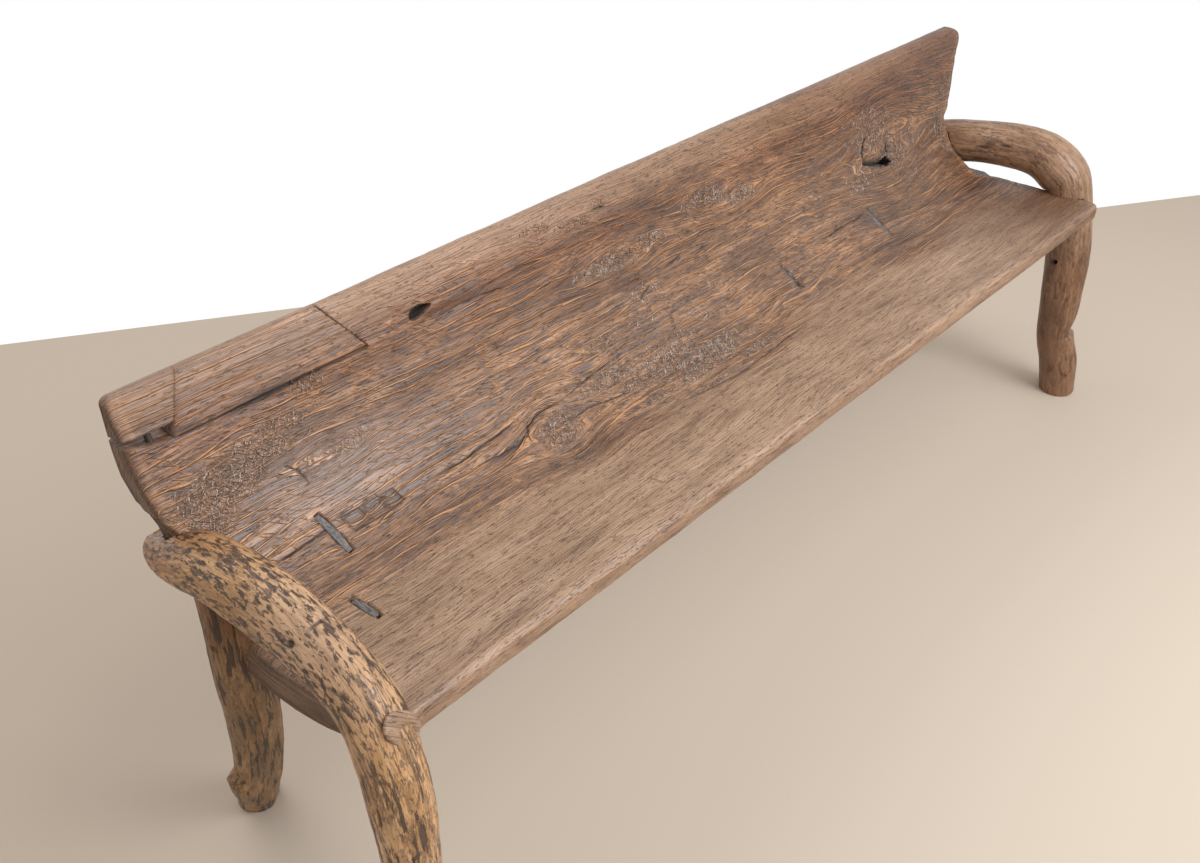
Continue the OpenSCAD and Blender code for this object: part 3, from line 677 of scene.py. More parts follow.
def slab_attributes(obj, patch=False):
    """Writes what slab_finish reads on the mesh's points."""
    p = coordinates(obj)
    x, y, z = p.T
    s, depth = surface_place(x, y, z)
    end = np.minimum(x - left_end(y, z), right_end(y, z) - x)
    from_tongue = p - (TONGUE_ROOT + TONGUE_TIP) / 2
    on_tongue = (np.linalg.norm(from_tongue, axis=1) < 46) & (y < -8) & (z > SEAT + 2)
    run, aside = from_tongue @ TONGUE_WAY, from_tongue @ TONGUE_ASIDE
    scoop = scoop_share(run, aside)
    end = np.where(on_tongue, 30.0, end)
    rim = np.where(on_tongue, 0.25 * bump(scoop - 0.25, 0.30), bump(end - 15, 4.0))
    hollow = np.where(on_tongue & (from_tongue @ TONGUE_FACE > 0), scoop, 0.0)
    # The tongue has the worn wood of the seat's front
    s, depth = np.where(on_tongue, 60 + aside, s), np.where(on_tongue, 0.0, depth)
    attribute(obj, "grain", np.stack([x, s, depth], -1) / 1000)
    attribute(obj, "end", 1 - ease((end - 1.5) / 3.5))
    broken = noise(x / 9, s / 5, 0, 113) + 0.6 * noise(x / 4, s / 2.5, 0, 114)
    cheek = (x > 700) * ease((z - 438) / 10) * ease((590 - z) / 30) * ease((26 - end) / 10)
    rim = np.maximum(rim, 1.2 * cheek * ease((broken - 0.15) / 0.3))
    attribute(obj, "rim", rim * (1 - ease((depth - 2) / 4)))
    if patch:
        # Painted shade in the open seam
        attribute(obj, "crack", seam_gap(x, z))
        return
    top = 1 - ease((depth - 4) / 6)
    attribute(obj, "torn", torn_field(x, s) * top)
    # Painted shade: near black inside the cracks and deeper down their walls, a little round their
    # lips, and inside the two open holes and the open seam
    dark = crack_field(x, s)[1]
    dark = dark * ease((depth - 0.4) / 2.6) * (depth < 20) + 0.30 * dark * top
    for hole in HOLES:
        dark = np.maximum(dark, (oval(x, s, *hole) < 1.0) * ease((depth - 2.0) / 5))
    attribute(obj, "crack", np.maximum(dark, seam_gap(x, z) * top))
    # The tongue's scoop is darkened as painted shade in its hollow
    attribute(obj, "mark", 0.45 * hollow)
    attribute(obj, "worn", worn_share(x, s))
    attribute(obj, "knot", knot_field(x, s)[0] * top)
    attribute(obj, "bend", grain_bend(x, s) / 1000)


def key_taper(share):
    """Width of a key along its length, share running from -1 to 1."""
    return 1.0 - 0.30 * np.abs(share) ** 2.5


def lay_in_seat(points, centre, turn, slope):
    """Turns points about the surface's normal, tips them with its slope, moves them to centre."""
    c, s = math.cos(turn), math.sin(turn)
    points = points @ np.array([[c, -s, 0], [s, c, 0], [0, 0, 1]]).T
    c, s = math.cos(slope), math.sin(slope)
    return points @ np.array([[1, 0, 0], [0, c, -s], [0, s, c]]).T + centre


def mortise(centre, turn, slope, size, steps=14):
    """The cutter for a key's mortise, narrower at its ends."""
    half = np.array(size) / 2
    share = np.linspace(-1, 1, steps + 1)
    wide = half[0] * key_taper(share) * (1 + 0.06 * noise(share * 3, centre[0], 0, 58))
    bow = KEY_BOW * (1 - share ** 2)
    level = np.full(len(share), half[2])
    points = [np.stack([side * wide + bow, share * half[1], up * level], -1)
              for side, up in ((-1, -1), (1, -1), (1, 1), (-1, 1))]
    points = np.stack(points, 1).reshape(-1, 3)
    return ring_solid("mortise", lay_in_seat(points, centre, turn, slope), 4)


def key_frame(name):
    """Middle, turn, slope of the surface and length of a key."""
    x, y, turn, length = KEYS[name][:4]
    radius = float(hollow_radius(x))
    slope = math.asin(max(0.0, y - float(flat_depth(x))) / radius)
    centre = np.array([x, y, SEAT + radius * (1 - math.cos(slope))])
    return centre, math.radians(turn), slope, length


def tube(name, start, way, radius, length, sides=20, uneven=0.0, seed=0, steps=1, shape=(1.0, 1.0)):
    """A round cutter from a point along a direction."""
    way = unit(np.array(way, float))
    helper = np.array([0.0, 0.0, 1.0]) if abs(way[2]) < 0.9 else np.array([0.0, 1.0, 0.0])
    u = unit(np.cross(helper, way))
    v = np.cross(way, u)
    angle = np.arange(sides) * 2 * np.pi / sides
    r = radius * (1 + uneven * noise(np.cos(angle) * 2, np.sin(angle) * 2, 0, seed))[:, None]
    ring = r * (shape[0] * np.cos(angle)[:, None] * u + shape[1] * np.sin(angle)[:, None] * v)
    start = np.array(start)
    rings = [start + way * length * k / steps + ring for k in range(steps + 1)]
    return ring_solid(name, np.concatenate(rings), sides)


ABOVE = BACK_TOP + 20
END_X = LEFT_BACK - 20
# How far the patches' seams run on between the top of the back and the height ABOVE
END_SEAM_ON, LONG_SEAM_ON = 9.0, 15.0
REBATE_DEPTHS, HOLE_DEPTHS = (200, 500), (250, 480)
KNOT_HOLE = (-513, 650)             # x and height
BURL_HOLE = (588.0, 342.0)          # x and s


def make_slab():
    """The log, with its rebate, mortises, holes and cracks cut, and its tongue added."""
    slab = solid("bench_slab", *log_mesh(FINE, 350, slab_relief))
    outline = [(END_X, PATCH_FLOOR + PATCH_GAP * 0.85), (SEAM_LEFT - 8.5, PATCH_FLOOR),
               (SEAM_RIGHT, PATCH_FLOOR), (SEAM_RIGHT_TOP - LONG_SEAM_ON, ABOVE), (END_X, ABOVE)]
    cut(slab, prism("rebate", outline, *REBATE_DEPTHS))
    for name in KEYS:
        *place, length = key_frame(name)
        size = (KEY_WIDTH + 1.5, length + KEYS[name][5], 2 * KEY_DEPTH)
        cut(slab, mortise(*place, size))
    x, z = KNOT_HOLE
    outline = [(x + 19 * c, z + (7.0 - 3.2 * c) * s + 2.5 * c)
               for c, s in ((math.cos(a), math.sin(a)) for a in np.radians(np.arange(0, 360, 10)))]
    cut(slab, prism("back_hole", outline, *HOLE_DEPTHS, 60))
    y, z, a, _ = (float(v) for v in surface(*np.array(BURL_HOLE)))
    start = (BURL_HOLE[0], y - 20 * math.sin(a), z + 20 * math.cos(a))
    cut(slab, tube("burl_hole", start, (0, math.sin(a), -math.cos(a)), 10.0, 120, sides=40,
                   uneven=0.55, seed=5, steps=30, shape=(1.7, 0.8)))
    for number, crack in enumerate(CRACKS):
        cut(slab, crack_cutter(number, *crack))
    cut(slab, corner_tongue(), "UNION")
    slab_attributes(slab)
    return slab


def corner_tongue():
    """The tongue of wood that runs from the slab's front left corner over the branch."""
    length = np.linalg.norm(TONGUE_TIP - TONGUE_ROOT)
    rows, sides = 44, 60
    angle = 2 * np.pi * np.arange(sides) / sides
    points = []
    for i in range(1, rows):
        t = i / rows
        size = math.sqrt(max(0.0, 1 - (2 * t - 1) ** 2)) ** 0.7
        aside = TONGUE_HALF * size * np.cos(angle) * (1 + 0.10 * noise(t * 5, np.cos(angle), 0, 76))
        lift = 5.0 * size * np.sign(np.sin(angle)) * np.abs(np.sin(angle)) ** 0.8
        lift = lift - np.where(lift > 0, 3.6 * scoop_share(length * (t - 0.5), aside), 0)
        lift = lift + 0.5 * noise(t * 6, aside / 6, 0, 77)
        middle = TONGUE_ROOT + TONGUE_WAY * length * t
        points.append(middle + aside[:, None] * TONGUE_ASIDE + lift[:, None] * TONGUE_FACE)
    grid = np.arange((rows - 1) * sides).reshape(rows - 1, sides)
    faces = quads(grid, True)
    for i in range(sides):
        for k, row in enumerate((grid[0], grid[-1])):
            faces.append((row[i], row[(i + 1) % sides], grid.size + k))
    return solid("tongue", np.concatenate(points + [TONGUE_ROOT[None], TONGUE_TIP[None]]), faces)


def patch_relief(x, s, depth, under):
    """Height of the patches' relief in millimetres, lower along their seams."""
    top = 1 - ease((depth - 3) / 8)
    fibres = 0.35 * noise(x / 90, s / 5, depth / 6, 201) + 0.5 * noise(x / 120, s / 16, 0, 202)
    swell = 1.3 * noise(x / 190, s / 95, 0, 103) * top
    return swell + fibres - 1.1 * seam_field(x, surface(x, s)[1]) * top - 0.4


def make_patches():
    """The two patches, each cut from a short length of log."""
    log = log_mesh(FINE, 120, patch_relief, high=lambda y, z: np.full(np.shape(y), -560.0))
    at_end = PATCH_FLOOR + PATCH_GAP
    at_end_x = SEAM_LEFT + (SEAM_LEFT_TOP - SEAM_LEFT) * PATCH_GAP / (BACK_TOP - PATCH_FLOOR)
    left, right = SEAM_LEFT_TOP + END_SEAM_ON, SEAM_RIGHT_TOP - LONG_SEAM_ON
    floor = PATCH_FLOOR + 0.6
    outlines = {
        "back_end_patch": [(END_X, at_end), (at_end_x - 0.5, at_end),
                           (left - 0.5, ABOVE), (END_X, ABOVE)],
        "back_long_patch": [(SEAM_LEFT + 0.3, floor), (SEAM_RIGHT - 1.2, floor),
                            (right - 0.6, ABOVE), (left + 0.3, ABOVE)]}
    pieces = []
    for name, outline in outlines.items():
        piece = solid(name + "_wood", *log)
        cut(piece, prism("outline", outline, *REBATE_DEPTHS), "INTERSECT")
        slab_attributes(piece, patch=True)
        pieces.append((piece, name))
    return pieces


# ------------------------------------------------ branches
def route_rows(side, start, rise, radius, rows):
    """Points of a branch's middle line with their radii.

    Each row has the distance beyond the slab's end, the depth as a share of the slab's, the height
    as a share of rise above start, and a share of the radius.
    """
    depth = LEFT_DEPTH if side < 0 else RIGHT_DEPTH
    return [(side * (HALF + w[0]), w[1] * depth, start + w[2] * rise, w[3] * radius) for w in rows]


def arm_rows(side, rise, radius, rows):
    """Heights count from the seat."""
    return route_rows(side, SEAT, rise, radius, rows)


def leg_rows(side, rows):
    """Heights count from the floor, as shares of the seat's."""
    return route_rows(side, 0.0, SEAT, LEG_RADIUS, rows)


LEG_RADIUS = 34.0
LEFT_BRANCH = arm_rows(-1, 84, 36, [
    (5, 0.996, 0.58, 0.80), (12, 0.869, 0.79, 0.92), (13, 0.652, 1.08, 1.0), (7, 0.416, 1.05, 1.02),
    (4, 0.208, 0.86, 1.0), (4, 0.045, 0.50, 0.98)]) + leg_rows(-1, [
        (6, -0.045, 0.96, 1.02), (8, -0.081, 0.80, 0.97), (8, -0.081, 0.60, 0.93),
        (8, -0.072, 0.30, 0.86), (10, -0.063, 0, 0.84)])
RIGHT_BRANCH = arm_rows(1, 64, 42, [
    (-46, 1.15, 0.50, 0.90), (-44, 0.98, 0.74, 0.97), (-30, 0.71, 0.97, 0.975),
    (-17, 0.44, 0.955, 1.02), (-16, 0.285, 0.60, 1.09)]) + leg_rows(1, [
        (-8, 0.21, 1.0, 1.28), (-8, 0.14, 0.74, 1.26), (-14, 0.11, 0.47, 1.10),
        (-14, 0.10, 0.31, 0.96), (4, 0.06, 0.16, 1.04), (17, 0.04, 0, 1.04)])


def leg_top(under):
    """A rear leg starts inside the branch that it carries."""
    return (*under[:3], LEG_RADIUS * 0.9)


LEFT_REAR = [leg_top(LEFT_BRANCH[2])] + leg_rows(-1, [
    (14, 0.634, 1.07, 0.96), (10, 0.67, 0.87, 0.96), (1, 0.715, 0.67, 0.94),
    (-9, 0.797, 0.44, 0.91), (-21, 0.914, 0.22, 0.90), (-39, 1.059, 0, 0.87)])
RIGHT_REAR = [leg_top(RIGHT_BRANCH[1])] + leg_rows(1, [
    (-42, 0.99, 1.0, 0.96), (-40, 1.00, 0.87, 0.96), (-38, 1.03, 0.67, 0.95),
    (-39, 1.07, 0.44, 0.94), (-40, 1.12, 0.22, 0.95), (-42, 1.17, 0, 0.90)])


def spline(points, t):
    points = np.array(points, float)
    last = len(points) - 1
    i = np.minimum(np.floor(t).astype(int), last - 1)
    u = (t - i)[:, None]
    a, b, c, d = (points[np.clip(i + k, 0, last)] for k in (-1, 0, 1, 2))
    return (b + (c - a) * u / 2 + (2 * a - 5 * b + 4 * c - d) * u ** 2 / 2
            + (3 * b - a - 3 * c + d) * u ** 3 / 2)


def follow(points, count):
    """A branch's middle line: steps, points with radii, lengths, and three directions at each."""
    last = len(points) - 1
    t = last * np.arange(count + 1) / count
    q = spline(points, t)
    after, before = (spline(points, np.clip(t + step, 0, last))[:, :3] for step in (0.02, -0.02))
    ahead = after - before
    ahead[-1] = (0, 0, -1)
    ahead = rows_to_unit(ahead)
    up = rows_to_unit(np.cross([1.0, 0.0, 0.0], ahead))
    length = np.concatenate([[0], np.cumsum(np.linalg.norm(np.diff(q[:, :3], axis=0), axis=1))])
    return t, q, length, ahead, np.cross(ahead, up), up


def branch_mesh(name, points, rings, sides, relief, top_rounding=9.0, foot_rounding=3.0):
    """A branch along its route, uneven and with a relief, its two ends rounded and closed."""
    t, q, length, ahead, across, up = follow(points, rings)
    angle = 2 * np.pi * np.arange(sides) / sides
    turn = np.radians(t)[:, None]
    uneven = 1 + 0.03 * (np.sin(2 * angle + 70 * turn) + np.sin(3 * angle - 110 * turn) / 2)
    inset = np.zeros(len(t))
    for distance, size in ((length, top_rounding), (length[-1] - length, foot_rounding)):
        inside = np.clip(1 - distance / size, 0, 1)
        inset = np.maximum(inset, size * (1 - np.sqrt(np.maximum(0, 1 - inside ** 2))))
    radius = q[:, 3][:, None] * uneven - inset[:, None]
    l, a = np.broadcast_arrays(length[:, None], angle)
    ca, sa = np.cos(a), np.sin(a)
    radius = radius + relief(l, a, radius, q) * (1 - np.clip(inset / 6, 0, 1))[:, None]
    out = across[:, None] * ca[..., None] + up[:, None] * sa[..., None]
    p = q[:, None, :3] + radius[..., None] * out
    p[..., 2] = np.maximum(p[..., 2], 0)
    p[-1, :, 2] = 0
    grid = np.arange(len(p) * sides).reshape(len(p), sides)
    rows, faces, total = [p.reshape(-1, 3)], quads(grid, True), grid.size
    closing = []
    for row, shares in ((0, (0.8, 0.55, 0.28)), (len(p) - 1, (0.7, 0.35))):
        middle, ring = q[row, :3], grid[row]
        for k in shares:
            cap = middle + (p[row] - middle) * k
            if row == 0:
                dish = 0.8 * noise(ca[row] * k * 3, sa[row] * k * 3, row, 303)
                cap = cap - ahead[row] * dish[:, None] * 2
            rows.append(cap)
            numbers = total + np.arange(sides)
            faces += quads(np.stack([ring, numbers]), True)
            ring = numbers
            total += sides
        closing.append(ring)
    for k, ring in enumerate(closing):
        faces += [(ring[i], ring[(i + 1) % sides], total + k) for i in range(sides)]
    return solid(name, np.concatenate(rows + [q[:1, :3], q[-1:, :3]]), faces)


def straighten(obj, points, scars=(), count=400):
    """Writes the straightened coordinates of the mesh's points: along the branch, and across it."""
    _, q, length, ahead, across, up = follow(points, count)
    p = coordinates(obj)
    nearest = np.empty(len(p), int)
    for block in np.array_split(np.arange(len(p)), len(p) // 8000 + 1):
        nearest[block] = ((p[block, None] - q[None, :, :3]) ** 2).sum(-1).argmin(1)
    away = p - q[nearest, :3]
    run = length[nearest] + (away * ahead[nearest]).sum(1)
    u, v = (away * across[nearest]).sum(1), (away * up[nearest]).sum(1)
    attribute(obj, "grain", np.stack([run, u, v], -1) / 1000)
    attribute(obj, "scar", scar_field(run, np.arctan2(v, u), np.hypot(u, v), scars)[0])


def round_noise(l, a, radius, along_size, across_size, seed):
    """Noise on a branch, without a seam round it."""
    u, v = radius * np.cos(a) / across_size, radius * np.sin(a) / across_size
    return noise(l / along_size, u, v, seed)


# Scars and pits of the branches: length along the branch, angle round it in degrees,
# half sizes along and across, depth
LEFT_SCARS = [(290, -90, 1.8, 12, 0.9), (238, -27, 5, 4, 3.0), (284, -144, 4, 5, 3.0),
              (483, -169, 13, 2.0, 3.0), (340, -60, 9, 2.0, 1.5), (205, -120, 8, 2.0, 1.2),
              (560, -120, 20, 1.8, 1.8), (620, -80, 26, 1.8, 1.6)]
RIGHT_SCARS = [(192, -165, 11, 2.5, 2.0), (96, 150, 6, 4, 2.0), (150, -178, 14, 1.6, 1.0),
               (560, -110, 12, 1.8, 1.2)]


def scar_field(l, a, radius, scars):
    """How deep the scars are, from 0 to 1 of each one's depth, and that depth."""
    share, deep = np.zeros(np.shape(l + a)), np.zeros(np.shape(l + a))
    for at, angle, half_l, half_a, depth in scars:
        across = turn_between(a, math.radians(angle)) * radius
        near = ease(1.5 - oval(l, across, at, 0, half_l, half_a))
        share = np.maximum(share, near)
        deep = np.maximum(deep, near * depth)
    return share, deep


def left_branch_relief(l, a, radius, q):
    lumps = (1.1 * round_noise(l, a, radius, 46, 26, 311)
             + 0.5 * round_noise(l, a, radius, 18, 12, 312))
    pits = np.clip(round_noise(l, a, radius, 9, 4.5, 313) - 0.35, 0, 1) * 1.6
    grooves = np.clip(round_noise(l, a, radius, 34, 4.5, 314) - 0.35, 0, 1) * 1.4
    relief = lumps - pits - grooves - scar_field(l, a, radius, LEFT_SCARS)[1]
    # The butt's hewn top, where the back sits on it
    lean = np.cos(a - math.radians(-84))
    hewn = 23.0 + 0.55 * np.maximum(0, l - 52) + 1.2 * noise(l / 12, a * 4, 0, 315)
    limit = hewn / np.maximum(lean, 0.25)
    return np.where((lean > 0.25) & (l < 90), np.minimum(relief, limit - radius), relief)


def right_branch_relief(l, a, radius, q):
    lumps = (1.3 * round_noise(l, a, radius, 70, 30, 321)
             + 0.45 * round_noise(l, a, radius, 20, 14, 322))
    pits = np.clip(round_noise(l, a, radius, 9, 5, 323) - 0.45, 0, 1) * 1.4
    # The step where the leg was cut in, on one side: a ledge below a hollow
    side = ease(1.25 - np.abs(turn_between(a, math.radians(-50))) / 1.25)
    ledge = ease((l - 650) / 5) * ease((800 - l) / 150)
    hollow = ease((l - 600) / 40) * ease((654 - l) / 6)
    step = side * (5.0 * ledge - 3.0 * hollow)
    return lumps - pits + step - scar_field(l, a, radius, RIGHT_SCARS)[1]


def rear_leg_relief(l, a, radius, q):
    lumps = (1.2 * round_noise(l, a, radius, 60, 24, 331)
             + 0.4 * round_noise(l, a, radius, 16, 10, 332))
    streaks = np.clip(round_noise(l, a, radius, 40, 5, 333) - 0.3, 0, 1) * 1.3
    facets = 1.6 * np.abs(np.cos(2.5 * a + l / 140)) - 0.9
    return lumps - streaks + facets


STUB_HEIGHT, STUB_ANGLE = 126.0, math.radians(188)


def left_rear_relief(l, a, radius, q):
    """A rear leg with the stub of a cut-off side branch."""
    height = q[:, 2][:, None]
    near = np.hypot((height - STUB_HEIGHT) / 25, turn_between(a, STUB_ANGLE) * radius / 17)
    stub = np.minimum(16 * ease(1.5 - near), 12.0 + 0.10 * (height - STUB_HEIGHT))
    return rear_leg_relief(l, a, radius, q) * (1 - ease(1.6 - near)) + stub


# ------------------------------------------------ shader maths
def colour(r, g, b):
    return (r, g, b, 1.0)


def shade(tint, by):
    """A colour made darker or lighter."""
    return [min(1.0, c * by) for c in tint]


def operator(operation, reflected=False):
    """A method that adds one Math node on a value and another value or number."""
    def method(self, other):
        return self.calc(operation, *((other, self) if reflected else (self, other)))
    return method


class Value:
    """A socket of a node tree that expressions can work on."""

    def __init__(self, maker, socket):
        self.maker, self.socket = maker, socket

    def calc(self, operation, *values, clamp=False):
        settings = {"operation": operation, "use_clamp": clamp}
        return self.maker.node("Math", settings, dict(enumerate(values)))

    __add__, __radd__ = operator("ADD"), operator("ADD", reflected=True)
    __sub__, __rsub__ = operator("SUBTRACT"), operator("SUBTRACT", reflected=True)
    __mul__, __rmul__ = operator("MULTIPLY"), operator("MULTIPLY", reflected=True)
    __truediv__, larger = operator("DIVIDE"), operator("MAXIMUM")

    def __abs__(self):
        return self.calc("ABSOLUTE", self)

    def clamped(self):
        return self.calc("ADD", self, 0.0, clamp=True)

    def step(self, low, high):
        """Smooth step from 0 at low to 1 at high."""
        return self.maker.node("MapRange", {"interpolation_type": "SMOOTHSTEP"},
                               {"Value": self, "From Min": low, "From Max": high})


class Graph:
    """The nodes of one tree. Every node comes from node()."""

    def __init__(self, tree):
        self.tree = tree

    def node(self, kind, settings=None, sockets=None, out=0):
        made = self.tree.nodes.new(kind if "Node" in kind else "ShaderNode" + kind)
        for key, value in (settings or {}).items():
            if key == "stops":
                while len(made.color_ramp.elements) < len(value):
                    made.color_ramp.elements.new(0.5)
                for element, (place, tint) in zip(made.color_ramp.elements, value):
                    element.position = place
                    element.color = tuple(tint) + (1.0,)
            else:
                setattr(made, key, value)
        for key, value in (sockets or {}).items():
            if isinstance(value, Value):
                self.tree.links.new(value.socket, made.inputs[key])
            else:
                made.inputs[key].default_value = value
        if out is None:
            return [Value(self, socket) for socket in made.outputs]
        return Value(self, made.outputs[out])

    def vector(self, operation, a, b):
        return self.node("VectorMath", {"operation": operation}, {0: a, 1: b})


class Finish(Graph):
    """The nodes of one material."""

    def __init__(self, name):
        self.material = bpy.data.materials.new(name)
        self.material.use_nodes = True
        super().__init__(self.material.node_tree)
        self.tree.nodes.clear()

    def read(self, name, out="Fac"):
        return self.node("Attribute", {"attribute_name": name}, out=out)

    def noise(self, place, scale, detail=3.0, roughness=0.55):
        """Noise with one scale, or with one along the grain and one across it."""
        if isinstance(scale, tuple):
            place, scale = self.vector("MULTIPLY", place, (*scale, scale[-1])[:3]), 1.0
        return self.node("TexNoise", {}, {
            "Vector": place, "Scale": scale, "Detail": detail, "Roughness": roughness})

    def line(self, value, sharpness):
        """1 where the value is a half, falling to 0 on both sides: thin lines from noise."""
        return (1.0 - abs(value - 0.5) * sharpness).clamped()

    def blend(self, share, a, b, kind="MIX"):
        """Mixes two colours, each a link or three numbers."""
        a, b = (tint if isinstance(tint, Value) else colour(*tint) for tint in (a, b))
        settings = {"data_type": "RGBA", "blend_type": kind}
        return self.node("Mix", settings, {0: share, 6: a, 7: b}, out=2)

    def coats(self, wood, *coats):
        """Lays colours over the wood one after another, each with its share."""
        for share, tint in coats:
            wood = self.blend(share, wood, tint)
        return wood

    def ramp(self, value, stops):
        return self.node("ValToRGB", {"stops": stops}, {0: value})

    def bell(self, value, middle, reach):
        """1 at the middle, 0 beyond the reach."""
        return (abs(value - middle) / reach).step(1.0, 0.0)

    def bump(self, height, strength, distance):
        return self.node("Bump", {}, {"Height": height, "Strength": strength, "Distance": distance})

    def finish(self, **sockets):
        names = {key.replace("_", " "): value for key, value in sockets.items()}
        shader = self.node("BsdfPrincipled", {}, names, out="BSDF")
        self.node("OutputMaterial", {}, {"Surface": shader}, out=None)
        return self.material


def grain_lines(m, place, spacing, stray, shift, width):
    """Thin wavy lines that run with the grain, near and apart, each fading in and out."""
    _, bent, deep = m.node("SeparateXYZ", {}, {0: place}, out=None)
    wave = m.noise(place, (6.0, 0.50 / spacing), 1.5)
    phase = (bent + deep) / spacing + wave * stray + shift
    distance = phase.calc("PINGPONG", phase, 0.5)
    keep = m.noise(place, (4.0, 0.40 / spacing), 2.0)
    thick = (keep.step(0.36, 0.60) * 0.80 + 0.20) * width
    return 1.0 - (distance / thick).step(0.25, 1.0)


def torn_finish(m, grain, run, across, dash, wood, height, shine):
    """Torn grain of small curled ridges with glossy crests, slivers, knots and the small marks,
    with painted glints on the crests and slivers, painted shade in the pits and painted shade in
    the tongue's scoop.
    """
    torn, knot, sliver, marks_and_scoop_shade = (m.read(name) for name in ("torn", "knot", "sliver", "mark"))
    curl = m.noise(grain, (60.0, 75.0), 2.0) - 0.5
    knotted = m.vector("ADD", grain, m.node("CombineXYZ", {}, {0: curl * 0.030, 1: curl * -0.022}))
    worm = m.line(m.noise(knotted, (62.0, 100.0), 2.0, 0.5), 17.0)
    worm = worm.larger(m.line(m.noise(knotted, (105.0, 160.0), 1.0), 14.0) * 0.8)
    pit = m.noise(knotted, (110.0, 190.0), 3.0, 0.65)
    for cx, cs, wide, tall in MARKS:
        up = (across - cs / 1000) / (tall / 1000)
        aside = (run - cx / 1000) / (wide / 1000) + up * 0.22
        away = abs(aside).larger(abs(up)) + (dash - 0.5) * 0.5
        marks_and_scoop_shade = marks_and_scoop_shade.larger(m.bell(away, 1.0, 0.30) * 0.60).larger(away.step(1.0, 0.8) * 0.40)
    wood = m.coats(wood, (torn * 0.45, (0.350, 0.185, 0.112)),
                   # painted shade in the low pits between the curls
                   (torn * pit.step(0.51, 0.43) * 0.65, (0.075, 0.037, 0.024)),
                   # painted glints: the curls' crests are laid on pale
                   (torn * worm * 0.55, (0.600, 0.440, 0.340)),
                   (knot * 0.10, (0.165, 0.085, 0.050)),
                   # the slivers are partly paler torn wood and partly painted glint
                   (sliver * (dash.step(0.42, 0.60) * 0.50 + 0.42), (0.720, 0.570, 0.465)),
                   # painted shade in the tongue's scoop, with the dark small marks
                   (marks_and_scoop_shade, (0.085, 0.055, 0.044)))
    height = height * (1.0 - torn * 0.5) + torn * (worm * 1.5 + pit * 1.4) - marks_and_scoop_shade * 1.5
    return wood, height, shine + torn * (worm * 0.12 + 0.05) + sliver * 0.07


PATCH_WORN = 0.25


